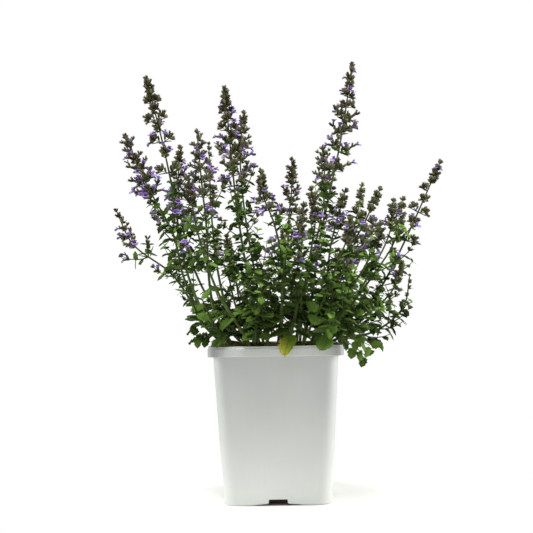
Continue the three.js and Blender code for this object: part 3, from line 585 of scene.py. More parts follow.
# %% The stems
POT_TOP = 178
RIM_WIDTH = 152
SOIL_TOP = 174
ROOT_DEPTH = 14
STEM_SAMPLES = 72
FOOT_RADIUS, TIP_RADIUS = 1.9, 0.75
FLOWERING = [
    dict(name="tall_left", soil=[-52, 20], turn=10, pairs=3, whorls=11, gap=5.5, bloom=0.55,
         path=[[-84, 25, 212], [-107, 28, 268], [-122, 31, 360], [-134, 32, 422], [-153, 34, 502]]),
    dict(name="tall_right", soil=[33, 4], turn=35, pairs=3, whorls=10, gap=7.5, bloom=0.6,
         path=[[44, 6, 230], [54, 9, 295], [68, 14, 356], [84, 17, 425], [99, 22, 513]]),
    dict(name="tall_middle", soil=[-14, 2], turn=20, pairs=3, whorls=11, gap=5.5, bloom=0.35,
         path=[[-21, 2, 205], [-34, 6, 273], [-44, 8, 345], [-50, 10, 410], [-56, 12, 484]]),
    dict(name="far_right", soil=[56, 13], turn=5, pairs=4, whorls=9, gap=7, bloom=0.12,
         path=[[89, 10, 206], [118, 7, 230], [135, 5, 256], [161, 3, 307], [199, 0, 388]]),
    dict(name="left", soil=[-54, -7], turn=50, pairs=3, whorls=7, gap=8, bloom=0.75,
         path=[[-88, -15, 217], [-106, -21, 258], [-117, -27, 308], [-145, -33, 363], [-168, -40, 418]]),
    dict(name="far_left", soil=[-61, 5], turn=0, pairs=2, whorls=6, gap=7, bloom=0.55, size=0.8,
         path=[[-87, 5, 203], [-105, 6, 238], [-124, 8, 264], [-170, 12, 300], [-189, 14, 339]]),
    dict(name="slim_left", soil=[-38, -27], turn=70, pairs=3, whorls=7, gap=8, bloom=0.6, size=0.9,
         path=[[-67, -38, 212], [-74, -46, 248], [-76, -58, 314], [-80, -63, 360], [-84, -70, 417]]),
    dict(name="green_left", soil=[-34, 30], turn=15, pairs=2, whorls=7, gap=6.5, bloom=0.15, size=0.7,
         path=[[-58, 38, 219], [-69, 44, 262], [-77, 53, 335], [-80, 64, 427]]),
    dict(name="middle_behind", soil=[-9, 28], turn=60, pairs=3, whorls=8, gap=7, bloom=0.5,
         path=[[-17, 42, 219], [-25, 55, 269], [-36, 70, 340], [-41, 80, 412], [-36, 88, 470]]),
    dict(name="middle_front", soil=[3, -24], turn=30, pairs=2, whorls=6, gap=6, bloom=0.55,
         path=[[9, -45, 229], [9, -62, 274], [0, -78, 316], [-11, -88, 345], [-12, -92, 367]]),
    dict(name="centre", soil=[17, 23], turn=80, pairs=3, whorls=8, gap=6.5, bloom=0.3, size=0.85,
         path=[[22, 45, 231], [18, 62, 275], [20, 80, 335], [25, 90, 381], [25, 96, 410]]),
    dict(name="right_behind", soil=[30, 38], turn=25, pairs=2, whorls=6, gap=8, bloom=0.4,
         path=[[37, 62, 231], [52, 84, 295], [66, 100, 360], [68, 114, 427]]),
    dict(name="right_middle", soil=[47, -7], turn=55, pairs=2, whorls=5, gap=8, bloom=0.5,
         path=[[58, -18, 229], [66, -30, 292], [74, -38, 322], [82, -46, 350]]),
    dict(name="lean_right", soil=[49, -22], turn=12, pairs=2, whorls=7, gap=7, bloom=0.35,
         path=[[65, -31, 229], [80, -42, 278], [99, -50, 307], [120, -60, 350]]),
    dict(name="brown_right", soil=[44, 42], turn=40, pairs=2, whorls=5, gap=8, bloom=0.25,
         path=[[70, 70, 230], [95, 98, 296], [110, 114, 340], [118, 126, 378]]),
    dict(name="right_upper", soil=[54, 27], turn=65, pairs=2, whorls=5, gap=7, bloom=0.4,
         path=[[92, 38, 223], [125, 48, 272], [145, 55, 312], [151, 62, 350]]),
    dict(name="right_lower", soil=[57, -11], turn=30, pairs=2, whorls=4, gap=8, bloom=0.6,
         path=[[90, -15, 223], [122, -18, 265], [142, -21, 298], [151, -24, 342]]),
    dict(name="right_short", soil=[58, -27], turn=0, pairs=2, whorls=4, gap=6, bloom=0.3, size=0.8,
         path=[[99, -32, 207], [125, -35, 226], [140, -38, 246], [146, -41, 268]]),
    dict(name="arching_right", soil=[63, 1], turn=20, pairs=2, whorls=5, gap=6.5, bloom=0, size=0.55,
         path=[[80, -1, 184], [110, -6, 188], [135, -12, 202], [152, -15, 222], [158, -18, 254]]),
    dict(name="front_centre", soil=[24, -37], turn=75, pairs=2, whorls=5, gap=7, bloom=0.5,
         path=[[31, -55, 229], [41, -78, 283], [46, -92, 319], [42, -102, 346]]),
    dict(name="front_right", soil=[44, -45], turn=45, pairs=2, whorls=4, gap=7, bloom=0.6,
         path=[[77, -66, 228], [100, -88, 265], [112, -102, 290], [115, -110, 306]]),
    dict(name="front_inner", soil=[31, -55], turn=10, pairs=2, whorls=4, gap=7, bloom=0.5,
         path=[[54, -80, 228], [69, -106, 270], [78, -118, 292], [81, -128, 310]]),
    dict(name="front_middle", soil=[7, -49], turn=60, pairs=2, whorls=5, gap=7, bloom=0.6,
         path=[[8, -78, 229], [14, -106, 279], [27, -116, 302], [32, -124, 326]]),
    dict(name="front_left", soil=[-29, -49], turn=35, pairs=2, whorls=5, gap=7, bloom=0.7,
         path=[[-59, -72, 230], [-75, -90, 273], [-85, -106, 318], [-90, -118, 357]]),
    dict(name="left_behind", soil=[-38, 48], turn=20, pairs=3, whorls=7, gap=7.5, bloom=0.5,
         path=[[-76, 58, 222], [-102, 72, 273], [-118, 86, 335], [-122, 96, 397], [-120, 102, 428]]),
    dict(name="back_right", soil=[45, 58], turn=70, pairs=2, whorls=4, gap=7, bloom=0.4,
         path=[[84, 90, 230], [111, 122, 277], [123, 136, 304], [131, 146, 324]]),
    dict(name="back_middle", soil=[8, 56], turn=5, pairs=2, whorls=5, gap=7, bloom=0.5,
         path=[[10, 90, 228], [14, 118, 272], [12, 134, 318]]),
    dict(name="back_left", soil=[-20, 57], turn=50, pairs=2, whorls=5, gap=7, bloom=0.45,
         path=[[-40, 88, 226], [-55, 116, 272], [-62, 132, 314]]),
]
LEAFY = [
    dict(name="front", soil=[15, -60], turn=20, pairs=3, thick=1.45,
         path=[[18, -68, 195], [23, -73, 214], [25, -80, 236], [20, -88, 256]]),
    dict(name="front_left", soil=[-48, -44], turn=40, pairs=3, path=[[-66, -70, 200], [-80, -90, 232]]),
    dict(name="left", soil=[-62, -26], turn=0, pairs=3, path=[[-84, -36, 205], [-99, -50, 242]]),
    dict(name="left_back", soil=[-58, 38], turn=60, pairs=3, path=[[-87, 58, 205], [-104, 72, 242]]),
    dict(name="front_middle", soil=[-8, -60], turn=30, pairs=3, path=[[-12, -84, 205], [-18, -102, 240]]),
    dict(name="front_right", soil=[50, -60], turn=75, pairs=3, path=[[64, -82, 198], [80, -98, 226]]),
    dict(name="right", soil=[64, -36], turn=20, pairs=3, path=[[88, -50, 196], [112, -64, 218]]),
    dict(name="right_back", soil=[64, 38], turn=50, pairs=3, path=[[92, 62, 205], [116, 78, 238]]),
    dict(name="back", soil=[26, 64], turn=10, pairs=3, path=[[30, 92, 205], [38, 114, 242]]),
    dict(name="back_left", soil=[-44, 63], turn=35, pairs=3, path=[[-62, 90, 208], [-78, 110, 246]]),
    dict(name="inner_left", soil=[-24, -16], turn=65, pairs=3, path=[[-44, -22, 218], [-54, -28, 262]]),
    dict(name="inner_back", soil=[-22, 40], turn=25, pairs=3, path=[[-42, 52, 222], [-50, 60, 268]]),
    dict(name="inner_right", soil=[40, -32], turn=80, pairs=3, path=[[60, -46, 216], [80, -60, 262]]),
    dict(name="inner_front", soil=[-9, -38], turn=10, pairs=3, path=[[-16, -58, 222], [-14, -78, 270]]),
    dict(name="inner_middle", soil=[46, 8], turn=45, pairs=3, path=[[78, 16, 232], [98, 24, 276]]),
]


class Spine:
    """The line of a stem, measured in millimetres from its buried foot."""

    def __init__(self, stem):
        x, y = stem["soil"]
        knots = [(x, y, SOIL_TOP - ROOT_DEPTH), (x, y, SOIL_TOP + 3), *stem["path"]]
        self.samples = smooth_curve([Vector(knot) for knot in knots], STEM_SAMPLES)
        self.reach = [0.0]
        for here, there in zip(self.samples, self.samples[1:]):
            self.reach.append(self.reach[-1] + (there - here).length)
        self.length = self.reach[-1]
        self.thick = stem.get("thick", 1)

    def at(self, distance):
        """The point at a distance along the stem, and the direction of the stem there."""
        i = int(np.searchsorted(self.reach, distance)) - 1
        i = min(max(i, 0), len(self.samples) - 2)
        tangent = (self.samples[i + 1] - self.samples[i]).normalized()
        return self.samples[i] + tangent * (distance - self.reach[i]), tangent

    def radius(self, distance):
        thinner = (FOOT_RADIUS - TIP_RADIUS) * min(distance / self.length, 1)
        return self.thick * (FOOT_RADIUS - thinner)


def smooth_curve(knots, steps):
    """Points along a centripetal Catmull-Rom curve, which passes every knot without loops."""
    before = 2 * knots[0] - knots[1]
    after = 2 * knots[-1] - knots[-2]
    padded = [before, *knots, after]
    points = []
    for step in range(steps + 1):
        whole = step / steps * (len(knots) - 1)
        i = min(int(whole), len(knots) - 2)
        points.append(curve_point(*padded[i : i + 4], whole - i))
    return points


def curve_point(a, b, c, d, t):
    """The point at a share t of the way from b to c."""
    first, middle, last = (math.sqrt((q - p).length) for p, q in [(a, b), (b, c), (c, d)])
    enter = ((b - a) / first - (c - a) / (first + middle) + (c - b) / middle) * middle
    leave = ((c - b) / middle - (d - b) / (middle + last) + (d - c) / last) * middle
    cubic = 2 * b - 2 * c + enter + leave
    square = -3 * b + 3 * c - 2 * enter - leave
    return b + enter * t + square * t**2 + cubic * t**3


for number, stem in enumerate(FLOWERING + LEAFY):
    stem["seed"] = 1000 + 97 * number
    kind = "flowering" if stem in FLOWERING else "leafy"
    stem["node"] = f"{kind}_stem_{stem['name']}"
    stem["spine"] = Spine(stem)
    stem["organs"] = []
STEMS = FLOWERING + LEAFY
print(len(STEMS), "stems, the longest", round(max(stem["spine"].length for stem in STEMS)), "mm")

# %% [markdown]
# ## How the stems differ
# No two stems of a real plant look alike, so a few get a look of their own. The parts of the solid
# model keep their places in it. "fresh" under 1 keeps the calyces of a young stem green further up.
# On an old, loose stem the half-whorls branch from the step "broad" down, with branches "spread"
# times as long. A head that opens late has its flowers shut above the step "opens". The finer
# calyces are "plump" times as long, and more of their flowers are open where a stem is "showy".
# Step 0 is the uppermost whorl.

# %% Looks of single stems
HABITS = {
    "tall_left": dict(plump=1.2, opens=7),
    "tall_right": dict(broad=6, spread=1.2, showy=1.3),
    "tall_middle": dict(broad=7),
    "left": dict(broad=1, spread=1.2, showy=1.8),
    "far_left": dict(broad=2, spread=1.2),
    "slim_left": dict(broad=1, spread=1.3, fresh=0.8),
    "green_left": dict(fresh=0.6),
    "middle_behind": dict(broad=3, opens=3),
    "middle_front": dict(opens=3, fresh=0.75),
    "centre": dict(broad=1, opens=5),
    "right_behind": dict(broad=1, spread=1.4, fresh=0.8),
    "right_middle": dict(fresh=0.75),
    "lean_right": dict(fresh=0.65),
    "brown_right": dict(fresh=0.75),
    "right_upper": dict(fresh=0.65),
    "right_lower": dict(fresh=0.6),
    "right_short": dict(fresh=0.6),
    "arching_right": dict(fresh=0.5),
    "front_centre": dict(opens=3, fresh=0.75),
    "front_right": dict(fresh=0.65),
    "front_inner": dict(fresh=0.7),
    "front_middle": dict(opens=3, fresh=0.7),
    "front_left": dict(showy=2),
    "left_behind": dict(broad=4, showy=2.5),
    "back_right": dict(fresh=0.7),
}
for stem in FLOWERING:
    stem |= HABITS.get(stem["name"], {})
print(len(HABITS), "stems with a look of their own")

# %% [markdown]
# ## How a stem branches
# A catmint's stem is square, and its leaves and half-whorls stand opposite each other, each pair
# square to the next. Every organ gets a frame of three directions: along it, across it and up.
# Draws from a seeded generator turn and lift each organ a little. Small balls stand for an organ
# where it is tested against its neighbours and the rim. If it would touch one, it is turned, lifted
# or made smaller until it is clear, and an organ that never is isn't grown. This is the rule that
# placed the organs of the solid model, with the same draws, so every one has its place again.

# %% Frames of organs
def mix(start, end, share):
    return start + (end - start) * share


def across_stem(tangent):
    """Two directions square to the stem: to its side and to its front."""
    side = -Vector((0, 1, 0)).cross(tangent).normalized()
    return side, tangent.cross(side)


def organ_frame(spine, distance, turn, lift, upright):
    """The root of an organ and its three directions, from its turn and its lift in degrees."""
    root, tangent = spine.at(distance)
    riser = (tangent + Vector((0, 0, upright))).normalized()
    side, front = across_stem(riser)
    turn, lift = math.radians(turn), math.radians(lift)
    out = side * math.cos(turn) + front * math.sin(turn)
    along = out * math.cos(lift) + riser * math.sin(lift)
    across = riser.cross(out)
    return root, along, across, along.cross(across)


def spot(place, along, across=0, up=0):
    """The point that lies so far along, across and up from the root of a frame."""
    return place[0] + place[1] * along + place[2] * across + place[3] * up


def draws_from(seed):
    """A seeded draw between 0 and 1, the same on every run."""
    state = seed

    def draw():
        nonlocal state
        state = (state * 1664525 + 1013904223) % 2**32
        return state / 2**32

    return draw


def about(draw, spread):
    """A draw between -spread and spread."""
    return (draw() * 2 - 1) * spread


# %% Keeping organs clear of each other
CELL = 10
RIM_CLEARANCE = 0.3


class Crowd:
    """Balls that are already taken, found by the cell of space that they lie near."""

    def __init__(self):
        self.cells = {}

    def add(self, balls, line=None):
        for point, radius, _ in balls:
            x, y, z = (math.floor(value / CELL) for value in point)
            taken = (point, radius, line)
            for i in (x - 1, x, x + 1):
                for j in (y - 1, y, y + 1):
                    for k in (z - 1, z, z + 1):
                        self.cells.setdefault((i, j, k), []).append(taken)

    def is_clear(self, balls, line):
        return all(self.is_free(*one, line) for one in balls)

    def is_free(self, point, radius, outer, line):
        half = RIM_WIDTH / 2 + RIM_CLEARANCE + radius
        if point.z <= POT_TOP + radius and abs(point.x) <= half and abs(point.y) <= half:
            return False
        cell = tuple(math.floor(value / CELL) for value in point)
        for other, size, owner in self.cells.get(cell, ()):
            if owner is line and not outer and line is not None:
                continue
            if (other - point).length_squared <= (size + radius) ** 2:
                return False
        return True


def settle(crowd, line, make, leeway):
    """The first form of an organ that is clear of all others, or None."""
    turns, lifts, scales = leeway
    for scale in scales:
        for lift in lifts:
            for turn in turns:
                organ = make(turn, lift, scale)
                if crowd.is_clear(organ["balls"], line):
                    crowd.add(organ["balls"])
                    return organ
    return None


# %% Whorls of calyces
AIM = {
    "head": [(0.8, 0.5, -0.5), (0.8, 0.5, 0.5), (0.8, -0.5, 0.5), (0.8, -0.5, -0.5)],
    "tuft": [(0.85, 0, -0.45), (0.75, 0.66, 0.05), (0.75, 0, 0.55), (0.75, -0.66, 0.05)],
    "cyme": [
        (0.75, 0.5, -0.45), (0.75, 0.5, 0.5), (0.75, -0.5, 0.5), (0.75, -0.5, -0.45),
        (0.05, 0.55, 0.8), (0.05, -0.55, 0.8),
    ],
}
WHORL_LEEWAY = ([0, 14, -14], [0, 14, -14, 28], [1, 0.85, 0.7, 0.55])


def draw_half(draw, level, stem):
    """What one half of a whorl is like, before it is placed."""
    size = stem.get("size", 1)
    kind = "head" if level == 0 else "tuft" if level < 4 else "cyme"
    half = {
        "kind": kind,
        "hub": size * min(2.2 + 0.18 * level, 3.4),
        "stalk": size * min(0.5 + 1.2 * level, 9) if kind == "cyme" else 0,
        "length": size * min(5.6 + 0.45 * level, 8.4),
        "lift": 90 if kind == "head" else 24 + about(draw, 8),
        "turn": about(draw, 8),
        "calyces": [],
    }
    for aim in AIM[kind]:
        aim = [value + about(draw, 0.13) for value in aim]
        reach = 1 + about(draw, 0.13)
        is_open = draw() < stem["bloom"] * (0.25 if level else 0)
        half["calyces"].append((aim, reach, is_open))
    return half


def place_half(spine, distance, turn, half):
    """Gives the function that makes the half-whorl in one of the forms that settle tries."""

    def make(turned, lifted, scale):
        lift = half["lift"] + (0 if half["kind"] == "head" else lifted)
        place = organ_frame(spine, distance, turn + half["turn"] + turned, lift, 0)
        hub, stalk = half["hub"] * scale, half["stalk"] * scale
        middle = spot(place, stalk)
        riser = spine.at(distance)[1]
        calyces = []
        for aim, reach, is_open in half["calyces"]:
            along = (spot(place, *aim) - place[0]).normalized()
            across = riser.cross(along).normalized()
            axes = (middle, along, across, along.cross(across))
            calyces.append((axes, half["length"] * reach * scale, is_open))
        return {
            "kind": half["kind"], "place": place, "hub": hub, "stalk": stalk, "calyces": calyces,
            "size": half["length"] * scale, "balls": half_balls(place, stalk, hub, calyces),
        }

    return make


def half_balls(place, stalk, hub, calyces):
    """Balls as (middle, radius, whether it lies clear of the stem)."""
    if stalk:
        balls = [(spot(place, stalk + hub * 0.3), hub * 0.9, True)]
        balls.append((spot(place, stalk * 0.6), 1.5, False))
    else:
        balls = [(spot(place, hub * 0.65), hub * 0.55, False)]
    for axes, length, is_open in calyces:
        balls += [(spot(axes, length * 0.4), 1.2, False), (spot(axes, length * 0.68), 1, False)]
        balls.append((spot(axes, length * 0.95), 0.6, True))
        if is_open:
            for along, radius in [(-1.5, 1.7), (1.5, 2.2), (4.2, 2.9)]:
                balls.append((spot(axes, length + along), radius, True))
    return balls


# %% Pairs of leaves
LEAF_LEEWAY = ([0, 24, -24, 44, -44], [0, 20, -20, 38], [1, 0.8, 0.65])


def draw_leaf(draw, share, stem):
    """share is 0 for the uppermost pair of leaves and 1 for the lowest."""
    scale = mix(1, stem.get("size", 1), 0.5) * (1 + about(draw, 0.14))
    length = mix(15, 26, share) * scale
    return {
        "kind": "leaf",
        "length": length,
        "petiole": 5 if length > 26 else 1.5,
        "width": length * 0.78 * mix(0.85, 0.95, share) * (1 + about(draw, 0.08)),
        "lift": mix(42, 2, share) + about(draw, 12),
        "turn": about(draw, 12),
        "fold": 3 + about(draw, 2),
        "droop": mix(1.5, 5.5, share) + about(draw, 1.5),
    }


def place_leaf(spine, distance, turn, leaf):
    """Gives the function that makes the leaf in one of the forms that settle tries."""

    def make(turned, lifted, scale):
        heading = turn + leaf["turn"] + turned
        place = organ_frame(spine, distance, heading, leaf["lift"] + lifted, 0.6)
        organ = {**leaf, "place": place}
        for size in ("length", "width", "petiole"):
            organ[size] = leaf[size] * scale
        organ["balls"] = leaf_balls(organ)
        return organ

    return make


def leaf_balls(leaf):
    place, length, width = leaf["place"], leaf["length"], leaf["width"]
    balls = [(spot(place, 2.8), 1.3, False)]
    for share in (0.2, 0.4, 0.6, 0.8, 0.98):
        along = mix(leaf["petiole"], length, share)
        half = width / 2 * blade_half(share)
        for side in (-0.88, -0.45, 0, 0.45, 0.88) if half > 3 else (0,):
            up = abs(side) * leaf["fold"] * half / width - leaf["droop"] * (along / length) ** 2
            balls.append((spot(place, along, side * half, up), 1.8, False))
    return balls


# %% Growing the plant
def sites_on(stem):
    """From the tip down, each whorl's level or pair's share, with its distance from the foot."""
    length = stem["spine"].length
    below = 0
    sites = []
    for level in range(stem.get("whorls", 0)):
        sites.append(("whorl", level, length - below))
        below += stem["gap"] * 1.16**level
    top = length - below - (8 if sites else 3)
    bottom = 58 if sites else 38
    for pair in range(stem["pairs"]):
        share = pair / (stem["pairs"] - 1)
        sites.append(("pair", share, mix(top, bottom, share)))
    return [(*site, i % 4) for i, site in enumerate(sites)]


def grow(crowd, stem, wanted, draw_shape, place_shape, leeway):
    """Grows either the whorls or the pairs of leaves of a stem, from the tip down."""
    draw = draws_from(stem["seed"])
    spine = stem["spine"]
    for kind, step, distance, side in sites_on(stem):
        if kind != wanted:
            continue
        for facing in [side] if (kind, step) == ("whorl", 0) else [side, (side + 2) % 4]:
            shape = draw_shape(draw, step, stem)
            make = place_shape(spine, distance, stem["turn"] + 90 * facing, shape)
            organ = settle(crowd, spine, make, leeway)
            if organ:
                stem["organs"].append({**organ, "distance": distance, "step": step})


def grow_rim_leaf(crowd, stem):
    """The big yellowing leaf that hangs over the front of the rim."""
    leaf = {
        "kind": "leaf", "length": 32, "width": 21, "petiole": 5, "lift": -44, "turn": -44,
        "fold": 2, "droop": 2,
    }
    distance = ROOT_DEPTH + 21
    make = place_leaf(stem["spine"], distance, stem["turn"] + 90, leaf)
    organ = settle(crowd, stem["spine"], make, LEAF_LEEWAY)
    stem["organs"].append({**organ, "distance": distance, "step": 1, "yellow": True})


def line_balls(spine):
    """Balls along a stem, which no organ of another stem may touch."""
    steps = np.arange(ROOT_DEPTH, spine.length, 3)
    return [(spine.at(step)[0], spine.radius(step) + 0.4, False) for step in steps]


crowd = Crowd()
for stem in STEMS:
    crowd.add(line_balls(stem["spine"]), stem["spine"])
grow_rim_leaf(crowd, LEAFY[0])
for stem in STEMS:
    grow(crowd, stem, "whorl", draw_half, place_half, WHORL_LEEWAY)
for stem in STEMS:
    grow(crowd, stem, "pair", draw_leaf, place_leaf, LEAF_LEEWAY)
print(sum(len(stem["organs"]) for stem in STEMS), "organs")

# %% [markdown]
# ## Finishes of the plant
# The leaves are dull green with paler veins, and painted darker deep in the bush as painted shade.
# The stems are pale green low down, painted dark at the foot as painted shade, and browner near the
# tip. The calyces are grey-green with dusky brown teeth, painted darker at their foot as painted
# shade, and fresher green on young growth. Each finish starts from a soft mottle that breaks up its
# colour, so the mottle is a node group that all of them share. A copy's tint and age are read from
# the mesh; on the leaves the tint also carries the painted shade. A tint above 1 is kept for the one
# leaf that has turned yellow.

# %% Helpers for nodes, and the shared mottle
def add_node(tree, kind, inputs=(), **settings):
    """Adds a node, and feeds its inputs with values or with other nodes' outputs."""
    node = tree.nodes.new("ShaderNode" + kind)
    for name, value in settings.items():
        setattr(node, name, value)
    for socket, value in dict(inputs).items():
        if isinstance(value, bpy.types.NodeSocket):
            tree.links.new(value, node.inputs[socket])
        else:
            node.inputs[socket].default_value = value
    return node


def math_node(tree, operation, *values, clamp=False):
    node = add_node(tree, "Math", enumerate(values), operation=operation, use_clamp=clamp)
    return node.outputs[0]


def colour_mix(tree, factor, first, second):
    mixer = add_node(tree, "Mix", {0: factor, 6: first, 7: second}, data_type="RGBA")
    return mixer.outputs[2]


def rgb(red, green, blue):
    """A screen colour from 0 to 255 as the linear colour that a shader wants."""
    return (*[((value / 255 + 0.055) / 1.055) ** 2.4 for value in (red, green, blue)], 1)


def new_group(name, inputs, outputs):
    group = bpy.data.node_groups.new(name, "ShaderNodeTree")
    for label, kind in inputs:
        group.interface.new_socket(label, in_out="INPUT", socket_type="NodeSocket" + kind)
    for label, kind in outputs:
        group.interface.new_socket(label, in_out="OUTPUT", socket_type="NodeSocket" + kind)
    return group, group.nodes.new("NodeGroupInput"), group.nodes.new("NodeGroupOutput")


def build_mottle():
    """Soft patches of a second colour, and their height for a bump."""
    inputs = [("Base", "Color"), ("Patches", "Color"), ("Scale", "Float")]
    group, given, result = new_group("mottle", inputs, [("Color", "Color"), ("Height", "Float")])
    place = add_node(group, "TexCoord").outputs["Object"]
    noise = {"Vector": place, "Scale": given.outputs["Scale"], "Detail": 3}
    coarse = add_node(group, "TexNoise", noise).outputs["Fac"]
    strong = math_node(group, "MULTIPLY_ADD", coarse, 2.4, -0.7, clamp=True)
    colour = colour_mix(group, strong, given.outputs["Base"], given.outputs["Patches"])
    group.links.new(colour, result.inputs["Color"])
    group.links.new(coarse, result.inputs["Height"])
    return group


mottle = build_mottle()


def new_finish(name, roughness, **settings):
    """A material with its own shader, whose plain values are set on the shader itself."""
    material = bpy.data.materials.new(name)
    material.use_nodes = True
    shader = material.node_tree.nodes["Principled BSDF"]
    shader.inputs["Roughness"].default_value = roughness
    for socket, value in settings.items():
        shader.inputs[socket.replace("_", " ")].default_value = value
    return material.node_tree, shader, material


def add_mottle(tree, base, patches, scale):
    node = tree.nodes.new("ShaderNodeGroup")
    node.node_tree = mottle
    for socket, value in [("Base", base), ("Patches", patches)]:
        if isinstance(value, bpy.types.NodeSocket):
            tree.links.new(value, node.inputs[socket])
        else:
            node.inputs[socket].default_value = value
    node.inputs["Scale"].default_value = scale
    return node.outputs["Color"], node.outputs["Height"]


def bump(tree, shader, height, strength, distance):
    """Raises the surface by a height, over a distance in metres."""
    inputs = {"Height": height, "Strength": strength, "Distance": distance}
    tree.links.new(add_node(tree, "Bump", inputs).outputs["Normal"], shader.inputs["Normal"])


def attribute(tree, name):
    return add_node(tree, "Attribute", attribute_name=name).outputs["Fac"]


def flat_map_parts(tree):
    """The two directions of the flat map of a shape."""
    flat = add_node(tree, "UVMap", uv_map="flat").outputs[0]
    return add_node(tree, "SeparateXYZ", {0: flat}).outputs[:2]


# %% Veins of a leaf
def build_veins():
    """Pale lines on the flat map of a leaf: the midrib, and side veins that slant to the tip."""
    outputs = [("Veins", "Float"), ("Crinkle", "Float"), ("Edge", "Float")]
    group, _, result = new_group("veins", [], outputs)
    along, across = flat_map_parts(group)
    off = math_node(group, "SUBTRACT", across, 0.5)
    side = math_node(group, "ABSOLUTE", off)
    slanted = math_node(group, "MULTIPLY_ADD", side, -0.55, along)
    wave = math_node(group, "PINGPONG", math_node(group, "MULTIPLY", slanted, 8), 0.5)
    veins = math_node(group, "LESS_THAN", wave, 0.07)
    midrib = math_node(group, "LESS_THAN", side, 0.022)
    group.links.new(math_node(group, "MAXIMUM", veins, midrib), result.inputs["Veins"])
    furrow = math_node(group, "SMOOTH_MIN", wave, math_node(group, "MULTIPLY", side, 4), 0.2)
    group.links.new(furrow, result.inputs["Crinkle"])
    group.links.new(math_node(group, "MULTIPLY_ADD", off, -1.2, along), result.inputs["Edge"])
    return group


veins = build_veins()

# %% Leaf, stem, calyx and petal finishes
WILTED, WILTED_EDGE, WILTED_VEIN = rgb(120, 146, 44), rgb(212, 208, 84), rgb(104, 136, 50)


def leaf_colour(tree, dark, light, vein):
    """From dark to light with the tint, partly painted shade, with pale veins, yellowed where it is above
    1.
    """
    tint = attribute(tree, "tint")
    lines = tree.nodes.new("ShaderNodeGroup")
    lines.node_tree = veins
    base = colour_mix(tree, tint, dark, light)
    colour, _ = add_mottle(tree, base, colour_mix(tree, 0.12, base, light), 160)
    on_vein = math_node(tree, "MULTIPLY", lines.outputs["Veins"], 0.35)
    colour = colour_mix(tree, on_vein, colour, vein)
    wilted = math_node(tree, "SUBTRACT", tint, 1, clamp=True)
    edge = math_node(tree, "MULTIPLY_ADD", lines.outputs["Edge"], 1.5, -0.45, clamp=True)
    faded = colour_mix(tree, edge, WILTED, WILTED_EDGE)
    on_faded_vein = math_node(tree, "MULTIPLY", lines.outputs["Veins"], 0.5)
    faded = colour_mix(tree, on_faded_vein, faded, WILTED_VEIN)
    return colour_mix(tree, wilted, colour, faded), lines.outputs["Crinkle"]


def leaf_finish_material(name, dark, light, vein, roughness):
    tree, shader, material = new_finish(name, roughness, Specular_IOR_Level=0.04)
    colour, crinkle = leaf_colour(tree, dark, light, vein)
    tree.links.new(colour, shader.inputs["Base Color"])
    bump(tree, shader, crinkle, 0.5, 0.0006)
    return material


def stem_finish():
    """Painted dark at the foot as shade near the soil, pale green low down, browner towards the tip."""
    tree, shader, material = new_finish("stem_skin", 0.55, Specular_IOR_Level=0.15)
    ramp = add_node(tree, "ValToRGB", {0: attribute(tree, "age")})
    # The dark colour at the foot is painted shade near the soil.
    ramp.color_ramp.elements[0].color = rgb(52, 58, 30)
    ramp.color_ramp.elements[1].color = rgb(70, 64, 50)
    ramp.color_ramp.elements.new(0.16).color = rgb(146, 168, 92)
    ramp.color_ramp.elements.new(0.5).color = rgb(92, 112, 58)
    colour, height = add_mottle(tree, ramp.outputs[0], rgb(78, 90, 48), 120)
    tree.links.new(colour, shader.inputs["Base Color"])
    bump(tree, shader, height, 0.3, 0.0004)
    return material


def calyx_finish():
    """Green, with painted shade at the foot, dusky teeth near a stem's tip, fresher with pale teeth
    below.
    """
    tree, shader, material = new_finish("calyx_felt", 0.8, Specular_IOR_Level=0.1)
    around, along = flat_map_parts(tree)
    # From foot to teeth: the dark foot is painted shade inside the whorl, the teeth keep their dusky
    # colour.
    foot_shade_to_teeth = math_node(tree, "MULTIPLY_ADD", along, 1.5, -0.45, clamp=True)
    tint = attribute(tree, "tint")
    green = colour_mix(tree, tint, rgb(18, 22, 8), rgb(100, 108, 58))
    dusky = colour_mix(tree, tint, rgb(42, 36, 28), rgb(158, 148, 118))
    fresh_green = colour_mix(tree, tint, rgb(34, 46, 16), rgb(126, 144, 76))
    fresh_teeth = colour_mix(tree, tint, rgb(72, 76, 42), rgb(184, 184, 146))
    fresh = math_node(tree, "MULTIPLY_ADD", attribute(tree, "age"), -2.5, 2.25, clamp=True)
    old_colour = colour_mix(tree, foot_shade_to_teeth, green, dusky)
    fresh_colour = colour_mix(tree, foot_shade_to_teeth, fresh_green, fresh_teeth)
    colour = colour_mix(tree, fresh, old_colour, fresh_colour)
    colour, _ = add_mottle(tree, colour, colour_mix(tree, 0.4, colour, rgb(78, 74, 50)), 300)
    ribs = math_node(tree, "PINGPONG", math_node(tree, "MULTIPLY", around, CALYX_SIDES), 0.5)
    tree.links.new(colour, shader.inputs["Base Color"])
    bump(tree, shader, ribs, 0.5, 0.0003)
    return material


def petal_finish():
    """Violet, deeper in the tube than on the lips."""
    tree, shader, material = new_finish("petal_silk", 0.55, Specular_IOR_Level=0.15)
    _, along = flat_map_parts(tree)
    out = math_node(tree, "MULTIPLY_ADD", along, 1.1, -0.35, clamp=True)
    tint = attribute(tree, "tint")
    tube = colour_mix(tree, tint, rgb(92, 70, 134), rgb(136, 110, 172))
    lip = colour_mix(tree, tint, rgb(120, 94, 164), rgb(190, 170, 216))
    colour = colour_mix(tree, out, tube, lip)
    colour, height = add_mottle(tree, colour, rgb(142, 116, 180), 500)
    tree.links.new(colour, shader.inputs["Base Color"])
    bump(tree, shader, height, 0.2, 0.0002)
    return material


